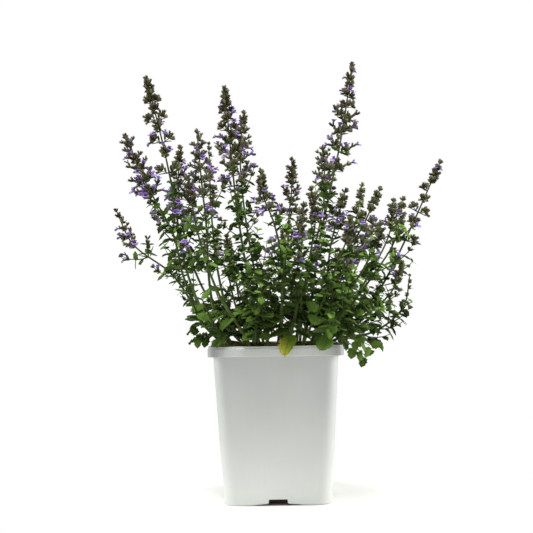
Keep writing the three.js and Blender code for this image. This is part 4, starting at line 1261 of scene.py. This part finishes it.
PLANT_FINISHES = [
    stem_finish(),
    # The leaves' near-black dark colours are painted shade for leaves deep in the bush.
    leaf_finish_material("leaf_top", rgb(3, 15, 2), rgb(110, 147, 59), rgb(142, 171, 95), 0.55),
    leaf_finish_material(
        "leaf_underside", rgb(7, 24, 5), rgb(104, 136, 65), rgb(138, 161, 99), 0.7,
    ),
    calyx_finish(),
    petal_finish(),
]
print([material.name for material in PLANT_FINISHES])

# %% [markdown]
# ## A square stem
# A curve through the stem's line carries a square section with a shallow groove in each side, and
# it thins towards the tip. Turning the curve into a mesh gives the finished stem.

# %% Stem shape
STEM_STEP = 7
SECTION_HALF = 0.92  # half the width of the section where the stem's radius is 1 mm
QUARTER = [(1, 0.35), (0.35, 1), (0, 0.72)]  # two corners of the square, and the groove after them


def square_profile():
    profile = bpy.data.curves.new("square section", "CURVE")
    line = profile.splines.new("POLY")
    corners = [turned for quarter in range(4) for turned in quarter_turn(quarter)]
    line.points.add(len(corners) - 1)
    for point, (x, y) in zip(line.points, corners):
        point.co = (x * SECTION_HALF * MM, y * SECTION_HALF * MM, 0, 1)
    line.use_cyclic_u = True
    section = bpy.data.objects.new("square section", profile)
    scene.collection.objects.link(section)
    return section


def quarter_turn(quarter):
    """One quarter of the section, turned a quarter of the way round so many times."""
    corners = QUARTER
    for _ in range(quarter):
        corners = [(-y, x) for x, y in corners]
    return corners


def lay_stem(spine, section):
    """Makes the stem as a curve with the square section, and returns it as a mesh object."""
    curve = bpy.data.curves.new("stem line", "CURVE")
    curve.dimensions = "3D"
    curve.bevel_mode = "OBJECT"
    curve.bevel_object = section
    curve.use_fill_caps = True
    steps = np.append(np.arange(2, spine.length - 2, STEM_STEP), spine.length)
    line = curve.splines.new("POLY")
    line.points.add(len(steps) - 1)
    for point, step in zip(line.points, steps):
        point.co = (*(spine.at(step)[0] * MM), 1)
        point.radius = spine.radius(step)
    stem = bpy.data.objects.new("stem line", curve)
    scene.collection.objects.link(stem)
    bpy.ops.object.select_all(action="DESELECT")
    stem.select_set(True)
    bpy.context.view_layer.objects.active = stem
    bpy.ops.object.convert(target="MESH")
    return bpy.context.object


section = square_profile()


def ages_along(spine, corners):
    """How far up its stem each corner is, from 0 to 1."""
    heights = np.array([point.z for point in spine.samples]) * MM
    return np.interp(corners[:, 2], heights, np.linspace(0, 1, len(heights)))


# %% [markdown]
# ## Dressing a stem
# The whorls are what shows a catmint from afar. Each half-whorl gets a bract below it and a bunch of
# calyces, low down on a common stalk. Those of the solid model keep their places, and finer ones
# fill the gaps between them. On an old, loose stem the half-whorl also forks into two short
# branches with calyces at their ends. Some calyces hold an open flower, others a bud. Flowers lean
# outwards with their lower lip down, and near the tip of a stem they are still small. FILL and
# COLLAR say where the finer calyces point, along, across and up, and FILL how far they reach.

# %% Dressing whorls
FILL = {
    "head": [(1, 0, 0, 1.1), (1, 0.25, 0.15, 1.35), (1, -0.25, 0.1, 1.25), (1, 0.05, -0.3, 1.4)],
    "tuft": [(1, 0, 0.5, 1.55), (0.8, 0.6, 0.7, 1.5), (0.8, -0.6, 0.7, 1.5), (0.4, 0.1, 1, 1.35)],
    "cyme": [
        (1, 0, 0.45, 1.15), (0.6, 0.7, 0.65, 1.1), (0.6, -0.7, 0.65, 1.1), (0.25, 0.1, 1, 1.1),
        (1, 0.3, -0.1, 1),
    ],
}
COLLAR = [(0.5, 0.55, 0.85), (0.5, -0.55, 0.85), (0.6, 0.1, 1)]
BRANCH_AIM = [(0.9, 0.3, 0.5), (0.4, 0.9, 0.5), (0.3, 0.2, 1)]
LONGEST_CALYX = 8.4
NEVER = 99  # a step that no stem has


def upright(along, across, roll=0, facing=Vector((0, 0, 1))):
    """Axes along a direction whose up faces the sky as well as it can, then rolled a little."""
    level = facing.cross(along)
    across = level.normalized() if level.length > 0.15 else across
    across = across * math.cos(roll) + along.cross(across) * math.sin(roll)
    return along, across, along.cross(across)


def add_calyx(cluster, draw, axes, length, is_open, age, bloom, young=0):
    """A calyx, with an open flower, a bud or nothing in its mouth, and a stalk if it is far out."""
    middle, along, across, up = axes
    body = min(length, LONGEST_CALYX)
    foot = middle + along * (length - body)
    tint = draw()
    if length - body > 0.5:
        stretch = (length - body + 0.8, 0.7, 0.7)
        cluster.stamp("stalk", (middle, along, across, up), stretch, tint, age)
    scale = body / CALYX_LENGTH
    cluster.stamp("calyx", (foot, along, across, up), (scale, scale * 0.9, scale * 0.9), tint, age)
    if is_open:
        out = Vector((along.x, along.y, 0)) + Vector((0, 0, along.z)) * 0.45
        heading = (along + out.normalized() * 0.6).normalized()
        flower = (foot + along * (body - 4), *upright(heading, across))
        size = (1 + 0.25 * draw()) * (1 - 0.5 * young)
        cluster.stamp("flower", flower, (size * 0.9, size * 1.15, size), draw(), age)
    elif draw() < 0.2 + 0.4 * bloom:
        knob = (foot + along * body * 0.72, along, across, up)
        size = scale * (0.7 + 0.5 * draw())
        cluster.stamp("bud", knob, (size, size, size), draw() * 0.6, age)


def dress_half(cluster, draw, organ, stem):
    place, hub, stalk = organ["place"], organ["hub"], organ["stalk"]
    kind, step, size = organ["kind"], organ["step"], organ["size"]
    middle = spot(place, stalk)
    age = organ["distance"] / stem["spine"].length * stem.get("fresh", 1)
    bloom = stem["bloom"]
    young = 1 - min(step / 5, 1)
    if stalk:
        cluster.stamp("stalk", place, (stalk + hub * 0.4, 1.1, 1.1), draw(), age)
    opening = step >= stem.get("opens", 0)
    for axes, length, is_open in organ["calyces"]:
        add_calyx(cluster, draw, axes, length, is_open and opening, age, bloom, young)
    extra = [(middle, aim, reach) for *aim, reach in FILL[kind]]
    if stalk > 4:
        extra += [(spot(place, stalk * 0.4), aim, 0.8) for aim in COLLAR]
    if kind != "head" and step >= stem.get("broad", NEVER):
        extra += branch_out(cluster, draw, place, size * stem.get("spread", 1), stalk + 1, age)
    chance = 0.3 if step > 7 else max(step - 2, 0) * 0.04 * stem.get("showy", 1)
    for root, aim, reach in extra:
        aim = [value + about(draw, 0.15) for value in aim]
        along = (spot(place, *aim) - place[0]).normalized()
        length = size * (0.9 + about(draw, 0.1)) * reach * stem.get("plump", 1)
        is_open = draw() < bloom * chance and opening
        axes = (root, *upright(along, place[2]))
        add_calyx(cluster, draw, axes, length, is_open, age, bloom, young)
    if kind != "head":
        add_bract(cluster, draw, organ, age)


def branch_out(cluster, draw, place, size, start_at, age):
    """Two short branches of a broad half-whorl, and the calyces at the end of each."""
    extra = []
    for side in (1, -1):
        fork = spot(place, start_at)
        end = spot(place, start_at + size * 0.5, side * size * 0.62, size * 0.4)
        axes = upright((end - fork).normalized(), place[2])
        cluster.stamp("stalk", (fork, *axes), ((end - fork).length, 0.9, 0.9), draw(), age)
        for forward, sideways, up in BRANCH_AIM:
            extra.append((end, (forward, side * sideways, up), 1))
        extra.append((fork.lerp(end, 0.5), (0.7, side * 0.5, 0.8), 0.9))
    return extra


def add_bract(cluster, draw, organ, age):
    """A small leaf below the half-whorl, longer on the lower ones."""
    root, along, across, _ = organ["place"]
    heading = (along + Vector((0, 0, -0.25))).normalized()
    axes = upright(heading, across)
    scale = (5 + 0.9 * organ["step"]) * (0.9 + 0.3 * draw()) / LEAF_LENGTH
    cluster.stamp("small leaf", (root, *axes), (scale, scale * 0.75, scale), draw(), age)


# %% Dressing leaves
BUSH_RIGHT, BUSH_LEFT, BUSH_DEPTH, BUSH_HEIGHT = 85, 110, 100, 150


def painted_daylight(point):
    """Painted light on a leaf: 0.05 deep in the bush, painted dark as shade, to 1 at its outside."""
    reach = BUSH_RIGHT if point.x > 0 else BUSH_LEFT
    outwards = math.hypot(point.x / reach, point.y / BUSH_DEPTH)
    upwards = (point.z - SOIL_TOP) / BUSH_HEIGHT
    return min(max(0.75 * outwards**1.5 + 0.5 * upwards, 0.05), 1)


def stamp_leaf(cluster, place, length, width, droop, tint, age):
    name = "large leaf" if length > 17 else "small leaf"
    scale = length / LEAF_LENGTH
    rise = scale * max(droop / 4, 0.4)
    cluster.stamp(name, place, (scale, width / LEAF_WIDTH, rise), tint, age)


def dress_leaf(cluster, draw, organ, stem):
    age = organ["distance"] / stem["spine"].length
    # Painted shade: the tint is darker the deeper the leaf lies in the bush.
    tint = draw() * painted_daylight(organ["place"][0])
    if organ.get("yellow"):
        root, along, across, _ = organ["place"]
        along = (along + Vector((0.12, 0, -0.16))).normalized()
        organ = {**organ, "place": (root, *upright(along, across)), "droop": 6}
        tint = 2
    stamp_leaf(cluster, organ["place"], organ["length"], organ["width"], organ["droop"], tint, age)


def slim_balls(leaf):
    """Few, small balls for a small leaf that may brush its neighbours but not cross them."""
    place, length = leaf["place"], leaf["length"]
    return [(spot(place, length * share, 0, -0.5), 0.9, False) for share in (0.5, 0.95)]


def fill_leaf(stem, crowd, draw, distance, turn, lift, length):
    leaf = {
        "kind": "leaf", "length": length, "petiole": 1.5, "width": length * 0.72, "lift": lift,
        "turn": 0, "fold": 3, "droop": 2 + 2 * draw(),
    }
    make = place_leaf(stem["spine"], distance, turn, leaf)

    def make_slim(turned, lifted, scale):
        organ = make(turned, lifted, scale)
        return {**organ, "balls": slim_balls(organ)}

    return settle(crowd, stem["spine"], make_slim, LEAF_LEEWAY)


def fill_leaves(cluster, crowd, draw, stem):
    """Smaller pairs of leaves between those of the solid model."""
    pairs = [site for site in sites_on(stem) if site[0] == "pair"]
    wanted = []
    for (_, share, here, side), (_, _, there, _) in zip(pairs, pairs[1:]):
        for part, facings in [(0.33, (side + 1, side + 3)), (0.67, (side, side + 2))]:
            for facing in facings:
                turn = stem["turn"] + 90 * facing + about(draw, 15)
                lift = 20 + about(draw, 20)
                wanted.append((mix(here, there, part), turn, lift, mix(13, 21, share)))
    for distance, turn, lift, length in wanted:
        length = length * (0.85 + 0.3 * draw())
        organ = fill_leaf(stem, crowd, draw, distance, turn, lift, length)
        if organ and draw() < vigour(organ["place"][0]) + 0.3:
            dress_leaf(cluster, draw, {**organ, "distance": distance}, stem)


# %% [markdown]
# ## Side shoots
# Short shoots grow from the axils of the leaves and fill the bush. Each is a chain of four thin
# stalks with pairs of small leaves at its joints, each pair square to the last, and a bare foot. A
# rising shoot bends up to the light. Some of the upper ones end in two small whorls of their own.
# Fewer grow low at the left, low in front and far out at the right, where light falls into the
# bush. A few falling shoots hang over the rim at both sides, with their leaves turned to the
# front. The two habits differ only in a few values, so one function grows both.

# %% Growing side shoots
SHOOT_LEEWAY = ([0, 30, -30, 60, -60], [0, 18, -18], [1, 0.75, 0.5])
JOINTS = 4
RISING = {
    "rise": 0.22,  # how much each joint bends up
    "bare": 1,  # the joints without leaves
    "sag": 0.3,  # how far the leaves hang down
    "taper": 0.16,  # how much shorter each pair is than the last
    "facing": Vector((0, 0, 1)),
    # how dark the leaves' tint is drawn, a painted shade
    "shade": 1.3,
}
FALLING = {
    "rise": -0.12,
    "bare": 2,
    "sag": 0.6,
    "taper": 0.03,
    "facing": Vector((0.25, -0.9, 0.5)),
    "shade": 0.5,
}


def place_shoot(stem, distance, turn, lift, length, habit):
    """Gives the function that makes the shoot in one of the forms that settle tries."""

    def make(turned, lifted, scale):
        frame = organ_frame(stem["spine"], distance, turn + turned, lift + lifted, 0.4)
        root, heading, across, _ = frame
        step = length * scale / JOINTS
        joints = []
        for _ in range(JOINTS):
            axes = upright(heading, across)
            joints.append((root, *axes))
            root = root + heading * step
            heading = (heading + Vector((0, 0, habit["rise"]))).normalized()
        tip = (root, *upright(heading, across))
        balls = [(spot(joint, step), 1.3, False) for joint in joints]
        return {"joints": joints, "step": step, "tip": tip, "balls": balls}

    return make


def dress_shoot(cluster, draw, shoot, age, leaf_length, blooming, bloom, habit=RISING):
    """The stalks of a shoot, their pairs of leaves, and whorls at its end if it blooms."""
    step = shoot["step"]
    tint = draw()
    for number, joint in enumerate(shoot["joints"]):
        thick = 1.7 - 0.25 * number
        cluster.stamp("stalk", joint, (step + 0.5, thick, thick), tint, age)
        if number >= habit["bare"]:
            add_pair(cluster, draw, joint, number, leaf_length, age, habit)
    if blooming:
        add_tuft(cluster, draw, shoot["joints"][-1], 1, age, bloom)
        add_tuft(cluster, draw, shoot["tip"], 0, age, bloom)
    else:
        add_pair(cluster, draw, shoot["tip"], JOINTS, leaf_length, age, habit)


def add_pair(cluster, draw, joint, number, length, age, habit):
    """Two leaves that face each other at a joint, each with its own turn, size and tint."""
    root, along, across, up = joint
    length = length * (1.1 - habit["taper"] * number)
    for side in (1, -1):
        out = (across if number % 2 else up) * side
        heading = along * (0.35 + about(draw, 0.25)) + out
        heading += Vector((0, 0, about(draw, 0.5) - habit["sag"]))
        axes = upright(heading.normalized(), along, about(draw, 0.7), habit["facing"])
        size = length * (0.85 + 0.3 * draw())
        name = "small leaf" if size > 12 else "tiny leaf"
        scale = size / LEAF_LENGTH
        broad = 0.75 + 0.3 * draw()
        # Painted shade: darker deep in the bush, darker on rising shoots and lighter on falling ones by
        # the habit's shade
        tint = draw() ** habit["shade"] * painted_daylight(root)
        cluster.stamp(name, (root, *axes), (scale, scale * broad, scale), tint, age)


def add_tuft(cluster, draw, joint, turned, age, bloom):
    """A small whorl: calyces that fan out on both sides of a joint."""
    root, along, across, up = joint
    for side in (1, -1):
        out = (up if turned else across) * side
        for sway in (-0.5, 0, 0.5):
            heading = along * (1.2 + about(draw, 0.3)) + out * 0.7 + (across if turned else up) * sway
            axes = (root, *upright(heading.normalized(), across))
            length = 6 + about(draw, 0.8)
            add_calyx(cluster, draw, axes, length, draw() < bloom * 0.2, age, bloom)


def shoot_sites(stem):
    """In the axils of each pair of leaves, and half way between two pairs."""
    pairs = [site for site in sites_on(stem) if site[0] == "pair"]
    for number, (_, share, distance, side) in enumerate(pairs):
        yield distance + 2, share, side
        if number + 1 < len(pairs):
            middle = mix(distance, pairs[number + 1][2], 0.5)
            yield middle, share, side + 1
            if share < 0.5:
                yield middle + 12, share, side


def vigour(point):
    """The chance that a shoot whose tip is at the point grows."""
    below_left = point.z < 225 and point.x < -85
    low_left = point.z < 275 and -112 < point.x < -45
    low_front = point.z < 250 and point.y < -45 and abs(point.x - 20) < 30
    high_left = point.z > 275 and point.x < 0
    far_right = point.x > 100
    for is_here, chance in [
        (below_left, 0), (low_left, 0.12), (low_front, 0.15), (high_left, 1), (far_right, 0.55),
    ]:
        if is_here:
            return chance
    return 0.8


def grow_shoots(cluster, crowd, draw, stem):
    for distance, share, side in shoot_sites(stem):
        for facing in (side, side + 2):
            length = mix(30, 40, share) * (0.8 + 0.4 * draw())
            turn = stem["turn"] + 90 * facing + about(draw, 30)
            make = place_shoot(stem, distance, turn, 42 + about(draw, 14), length, RISING)
            shoot = settle(crowd, stem["spine"], make, SHOOT_LEEWAY)
            if shoot and draw() < vigour(shoot["tip"][0]):
                age = min(distance / stem["spine"].length + 0.1, 1)
                blooming = "whorls" in stem and share < 0.4 and draw() < 0.5
                leaf_length = mix(13, 20, share)
                bloom = stem.get("bloom", 0.3)
                dress_shoot(cluster, draw, shoot, age, leaf_length, blooming, bloom)


HANGING_LEAF = 14
# For each shoot over the rim: how far up its stem it starts, its turn, its lift and its length.
HANGING = {
    "leafy_stem_right": (ROOT_DEPTH + 16, 188, 34, 36),
    "flowering_stem_arching_right": (ROOT_DEPTH + 18, 172, 30, 36),
    "leafy_stem_left": (ROOT_DEPTH + 18, 14, 46, 20),
}


def grow_hanging(cluster, draw, stem):
    if stem["node"] in HANGING:
        make = place_shoot(stem, *HANGING[stem["node"]], FALLING)
        dress_shoot(cluster, draw, make(0, 0, 1), 0.3, HANGING_LEAF, False, 0, FALLING)


# %% Building every stem
def dress_stem(stem, crowd):
    """Makes the finished stem, and returns how many triangles it has."""
    draw = draws_from(stem["seed"] + 50)
    cluster = Cluster()
    bare = read_shape(lay_stem(stem["spine"], section), lambda *face: STEM, tube_map)
    cluster.add(bare, bare["corners"], draw(), ages_along(stem["spine"], bare["corners"]))
    for organ in stem["organs"]:
        dress = dress_leaf if organ["kind"] == "leaf" else dress_half
        dress(cluster, draw, organ, stem)
    fill_leaves(cluster, crowd, draw, stem)
    grow_shoots(cluster, crowd, draw, stem)
    grow_hanging(cluster, draw, stem)
    piece = cluster.make("dressed_" + stem["node"], PLANT_FINISHES)
    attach(piece, "root")
    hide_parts(stem["node"])
    return int(np.sum(cluster.joined("sizes") - 2))


faces = [dress_stem(stem, crowd) for stem in STEMS]
bpy.data.objects.remove(section)
print(sum(faces), "triangles on", len(faces), "stems, at most", max(faces))

# %% [markdown]
# ## The pot
# The pot is moulded in one piece from thin plastic: a tapered, square body with round corners, a
# deeper rim around its top with a narrow lip, and a flat floor. Its section is followed from the
# foot up the outside, over the rim and down the inside. At each step a plane is added, its corners
# are bevelled round, and the ring that is left is bridged to the one before. Arches, notches and
# drain holes are then cut from the foot.

# %% Pot shape
FOOT_WIDTH, FOOT_CORNER = 122, 16
SHOULDER_WIDTH, SHOULDER_CORNER, SHOULDER_Z = 141, 14, POT_TOP - 11.5
RIM_CORNER = 9
WALL = 1.5
FLOOR_TOP = 4.5
CORNER_SEGMENTS = 7
RING = 4 * (CORNER_SEGMENTS + 1)  # the corners of one ring


def body_ring(z, inset=0):
    """The width, the corner radius and the height of a ring of the tapered body."""
    share = z / SHOULDER_Z
    width = mix(FOOT_WIDTH, SHOULDER_WIDTH, share) - 2 * inset
    return width, mix(FOOT_CORNER, SHOULDER_CORNER, share) - inset, z


def rim_ring(z, inset=0):
    return RIM_WIDTH - 2 * inset, RIM_CORNER - inset, z


POT_RINGS = [
    body_ring(0, 1.5), body_ring(0.5, 0.5), body_ring(1.5), body_ring(SHOULDER_Z - 0.4),
    rim_ring(SHOULDER_Z, 0.6), rim_ring(SHOULDER_Z + 0.6),
    rim_ring(POT_TOP - 2.7), rim_ring(POT_TOP - 2.4, 0.25), rim_ring(POT_TOP - 2.1, 0.8),
    rim_ring(POT_TOP - 0.3, 0.8), rim_ring(POT_TOP, 1.1), rim_ring(POT_TOP, 2),
    rim_ring(POT_TOP - 0.3, 2.3), rim_ring(SHOULDER_Z + WALL, 2.3),
    (*body_ring(SHOULDER_Z, WALL)[:2], SHOULDER_Z + WALL - 0.4),
    body_ring(FLOOR_TOP, WALL),
]


def add_ring(width, corner, z):
    """Adds a square ring of edges with round corners."""
    bpy.ops.mesh.select_all(action="DESELECT")
    bpy.ops.mesh.primitive_plane_add(size=width * MM, location=(0, 0, z * MM))
    bpy.ops.mesh.bevel(offset=corner * MM, segments=CORNER_SEGMENTS, affect="VERTICES")
    bpy.ops.mesh.delete(type="ONLY_FACE")


def pick_rings(piece, first, last):
    """Picks the edges that run round the rings from the first to the last one."""
    bpy.ops.mesh.select_mode(type="EDGE")
    bpy.ops.mesh.select_all(action="DESELECT")
    work = bmesh.from_edit_mesh(piece.data)
    for edge in work.edges:
        rings = {corner.index // RING for corner in edge.verts}
        if len(rings) == 1 and first <= rings.pop() <= last:
            edge.select_set(True)
    bmesh.update_edit_mesh(piece.data)


def model_pot():
    pot = start(bpy.ops.mesh.primitive_plane_add, "nursery_pot", size=0.01)
    bpy.ops.mesh.delete(type="VERT")
    for number, ring in enumerate(POT_RINGS):
        add_ring(*ring)
        if number:
            pick_rings(pot, number - 1, number)
            bpy.ops.mesh.bridge_edge_loops()
    for number in (0, len(POT_RINGS) - 1):
        pick_rings(pot, number, number)
        bpy.ops.mesh.edge_face_add()
    return finish_shape(pot)


def cut_away(piece, cutter):
    cut = piece.modifiers.new("cut", "BOOLEAN")
    cut.operation = "DIFFERENCE"
    cut.object = cutter
    apply_modifiers(piece)
    bpy.data.objects.remove(cutter)


ARCH_HALF, ARCH_RISE, ARCH_DEPTH = 33, 2.6, 16
NOTCH_BOTTOM, NOTCH_TOP, NOTCH_DEPTH, NOTCH_HEIGHT = 24, 20.5, 32, 7
DRAIN_RADIUS, DRAIN_PLACE, DRAIN_DEPTH = 5, 34, 20


def foot_cutters():
    """An arch, a notch with sloping sides and a round drain hole, each at all four sides."""
    radius = (ARCH_HALF**2 + ARCH_RISE**2) / (2 * ARCH_RISE)
    for side in range(4):
        yield start(
            bpy.ops.mesh.primitive_cylinder_add,
            "arch",
            vertices=160,
            radius=radius * MM,
            depth=ARCH_DEPTH * MM,
            location=(0, -FOOT_WIDTH / 2 * MM, (ARCH_RISE - radius) * MM),
            rotation=(math.pi / 2, 0, 0),
        ), side
        notch = start(
            bpy.ops.mesh.primitive_cube_add,
            "notch",
            size=MM,
            location=(0, -FOOT_WIDTH / 2 * MM, 0),
            scale=(NOTCH_BOTTOM, NOTCH_DEPTH, 2 * NOTCH_HEIGHT),
        )
        pick(notch, "VERT", lambda middle, normal: middle.z > 0)
        swell(x=NOTCH_TOP / NOTCH_BOTTOM)
        yield notch, side
        yield start(
            bpy.ops.mesh.primitive_cylinder_add,
            "drain",
            vertices=24,
            radius=DRAIN_RADIUS * MM,
            depth=DRAIN_DEPTH * MM,
            location=(DRAIN_PLACE * MM, DRAIN_PLACE * MM, 0),
        ), side


pot = model_pot()
for cutter, side in foot_cutters():
    finish_shape(cutter)
    cutter.data.transform(Matrix.Rotation(math.pi / 2 * side, 4, "Z"))
    cut_away(pot, cutter)
bpy.ops.object.select_all(action="DESELECT")
pot.select_set(True)
bpy.context.view_layer.objects.active = pot
bpy.ops.object.shade_smooth_by_angle(angle=math.radians(28))
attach(pot, "root")
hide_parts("pot")
print("pot", len(pot.data.polygons), "faces")

# %% [markdown]
# ## Finish of the pot
# The plastic is pale grey with a satin skin. It isn't quite even: faint cloudy patches, fine
# upright streaks from the mould, and a little dust of the potting mix around the rim and along the
# foot. The rim is painted paler than the wall as a painted highlight, and grey at its corners as
# painted shade. The underside is painted dark as painted shade. Each of these is a mask from the
# height or the distance from the middle, in metres, that blends one more colour in.

# %% Pot plastic
SHOULDER_MASK = (POT_TOP - 11.4) * MM


def place_parts(tree, place):
    """How far a place is to the side and to the back, both without their sign, and its height."""
    parts = add_node(tree, "SeparateXYZ", {0: place}).outputs
    across, back = (math_node(tree, "ABSOLUTE", part) for part in (parts[0], parts[1]))
    return across, back, parts[2]


def underside_painted_shade(tree, place):
    """1 on the underside and inside the feet, where the plastic is painted dark as painted shade."""
    across, back, height = place_parts(tree, place)
    inside = math_node(tree, "LESS_THAN", math_node(tree, "MAXIMUM", across, back), 0.0596)
    off_corner = math_node(tree, "LESS_THAN", math_node(tree, "ADD", across, back), 0.103)
    low = math_node(tree, "LESS_THAN", height, 0.0078)
    return math_node(tree, "MULTIPLY", math_node(tree, "MULTIPLY", inside, off_corner), low)


def rim_painted_light_and_shade(tree, place, wall):
    """The wall's colour, and a rim painted paler as a highlight and grey at its corners as shade."""
    across, back, height = place_parts(tree, place)
    off_middle = math_node(tree, "ADD", across, back)
    near_corner = math_node(tree, "MULTIPLY_ADD", off_middle, 36, -4.3, clamp=True)
    corner_painted_shade = math_node(tree, "MULTIPLY", near_corner, near_corner)
    # Painted highlight on the rim, and painted shade at its corners.
    rim = colour_mix(tree, corner_painted_shade, rgb(236, 239, 235), rgb(166, 169, 165))
    on_rim = math_node(tree, "GREATER_THAN", height, SHOULDER_MASK)
    return colour_mix(tree, on_rim, wall, rim)


def pot_finish():
    tree, shader, material = new_finish("pot_plastic", 0.38)
    place = add_node(tree, "TexCoord").outputs["Object"]
    height = add_node(tree, "SeparateXYZ", {0: place}).outputs[2]
    colour, cloud = add_mottle(tree, rgb(219, 222, 218), rgb(212, 216, 212), 9)
    colour = rim_painted_light_and_shade(tree, place, colour)
    stretch = add_node(tree, "Mapping", {"Vector": place, "Scale": (1, 1, 0.04)}).outputs[0]
    streak_noise = {"Vector": stretch, "Scale": 260, "Detail": 2}
    streaks = add_node(tree, "TexNoise", streak_noise).outputs["Fac"]
    speck_noise = {"Vector": place, "Scale": 420, "Detail": 4}
    specks = add_node(tree, "TexNoise", speck_noise).outputs["Fac"]
    near_rim = math_node(tree, "MULTIPLY_ADD", height, 90, -14.9, clamp=True)
    near_foot = math_node(tree, "MULTIPLY_ADD", height, -60, 0.3, clamp=True)
    dusty = math_node(tree, "MULTIPLY_ADD", specks, 5, -2.6, clamp=True)
    dust = math_node(tree, "MULTIPLY", dusty, math_node(tree, "MAXIMUM", near_rim, near_foot))
    faint_streaks = math_node(tree, "MULTIPLY", streaks, 0.1)
    colour = colour_mix(tree, faint_streaks, colour, rgb(170, 178, 176))
    faint_dust = math_node(tree, "MULTIPLY", dust, 0.35)
    colour = colour_mix(tree, faint_dust, colour, rgb(158, 156, 132))
    # Painted shade: the underside and the inside of the feet are painted near black.
    colour = colour_mix(tree, underside_painted_shade(tree, place), colour, rgb(26, 22, 19))
    tree.links.new(colour, shader.inputs["Base Color"])
    rough_dust = math_node(tree, "MULTIPLY_ADD", dust, 0.3, 0.25)
    rough = math_node(tree, "MULTIPLY_ADD", cloud, 0.25, rough_dust)
    tree.links.new(rough, shader.inputs["Roughness"])
    bump(tree, shader, streaks, 0.12, 0.0003)
    return material


pot.data.materials.append(pot_finish())

# %% [markdown]
# ## Potting mix
# The surface is dark and crumbly, with splinters of bark, a few grains of white perlite, and
# cushions of moss that gather near the rim, where it stays damp. The solid below gives the lumps. A
# crust lies on it: a fine grid that is lifted to the same lumps, roughened by a noise and given
# some thickness. The litter on it is stamped like the leaves, as one piece.

# %% Crust of the potting mix
SOIL, BARK, PERLITE, MOSS = range(4)
CRUST_WIDTH = 143
CRUST_CELLS = 72


def soil_height(x, y):
    """The height of the solid's lumpy surface, which rises a little to the middle."""
    lumps = 1.3 * math.sin(x / 9 + 1.3) * math.cos(y / 11) + 1.1 * math.sin((x + y) / 6.5)
    return SOIL_TOP + lumps + 2.2 * (1 - max(abs(x), abs(y)) / 75)


def model_crust():
    crust = start(
        bpy.ops.mesh.primitive_grid_add,
        "soil_crust",
        x_subdivisions=CRUST_CELLS,
        y_subdivisions=CRUST_CELLS,
        size=CRUST_WIDTH * MM,
    )
    work = bmesh.from_edit_mesh(crust.data)
    for corner in work.verts:
        corner.co.z = (soil_height(corner.co.x / MM, corner.co.y / MM) + 0.3) * MM
    bmesh.update_edit_mesh(crust.data)
    finish_shape(crust)
    crumbs = bpy.data.textures.new("crumbs", "CLOUDS")
    crumbs.noise_scale = 0.006
    crumbs.noise_depth = 3
    rough = crust.modifiers.new("crumbs", "DISPLACE")
    rough.texture = crumbs
    rough.direction = "Z"
    rough.mid_level = 0.35
    rough.strength = 3 * MM
    crust.modifiers.new("depth", "SOLIDIFY").thickness = 4 * MM
    apply_modifiers(crust)
    return crust


def soil_finish(name, base, patches, scale, depth):
    tree, shader, material = new_finish(name, 0.95, Specular_IOR_Level=0.1)
    colour, height = add_mottle(tree, base, patches, scale)
    tree.links.new(colour, shader.inputs["Base Color"])
    bump(tree, shader, height, 1, depth)
    return material


SOIL_FINISHES = [
    soil_finish("potting_mix", rgb(24, 19, 13), rgb(58, 46, 28), 240, 0.0015),
    soil_finish("bark", rgb(54, 40, 26), rgb(104, 82, 54), 300, 0.0006),
    soil_finish("perlite", rgb(196, 192, 180), rgb(226, 224, 214), 500, 0.0004),
    soil_finish("moss", rgb(44, 58, 14), rgb(112, 118, 44), 700, 0.001),
]
crust = model_crust()
crust.data.materials.append(SOIL_FINISHES[SOIL])
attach(crust, "root")
for slot in frame["nodes"]["soil"].material_slots:
    slot.material = SOIL_FINISHES[SOIL]
print("crust", len(crust.data.polygons), "faces")

# %% Litter on the potting mix
chip = start(bpy.ops.mesh.primitive_cube_add, "chip", size=MM, scale=(5, 1.8, 0.8))
pick(chip, "VERT", lambda middle, normal: middle.x > 0)
swell(y=0.5)
push(z=0.4)
finish_shape(chip)
grain = start(bpy.ops.mesh.primitive_ico_sphere_add, "grain", subdivisions=1, radius=MM)
finish_shape(grain)
cushion = start(bpy.ops.mesh.primitive_ico_sphere_add, "cushion", subdivisions=1, radius=MM)
pick(cushion, "VERT", lambda middle, normal: math.sin(middle.x * 9) * math.cos(middle.y * 8) > 0.2)
swell(x=1.25, y=1.25, z=1.25)
finish_shape(cushion)
LITTER = [("chip", chip, BARK), ("grain", grain, PERLITE), ("cushion", cushion, MOSS)]
for name, piece, finish in LITTER:
    SHAPES[name] = read_shape(piece, lambda *face, f=finish: f, tube_map)


REACH = 69  # how far from the middle the litter lies


def strew(cluster, draw, name, count, size, stretch=1, gather=0.6):
    """Lays copies of a shape on the surface, more of them near the rim the less gather is."""
    for _ in range(count):
        x, y = (REACH * math.copysign(draw() ** gather, draw() - 0.5) for _ in range(2))
        turn = 6.3 * draw()
        along = Vector((math.cos(turn), math.sin(turn), about(draw, 0.3))).normalized()
        scale = size * (0.5 + draw())
        place = (Vector((x, y, soil_height(x, y) + 0.9)), *upright(along, Vector((0, 1, 0))))
        cluster.stamp(name, place, (scale * stretch, scale, scale * 0.7), draw(), 0)


litter = Cluster()
draw = draws_from(77)
strew(litter, draw, "chip", count=260, size=1)
strew(litter, draw, "grain", count=60, size=0.9)
strew(litter, draw, "cushion", count=520, size=1.5, stretch=1.3)
strew(litter, draw, "cushion", count=240, size=2.9, stretch=1.2, gather=0.12)
litter = litter.make("soil_litter", SOIL_FINISHES)
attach(litter, "root")
print("litter", len(litter.data.polygons), "faces")
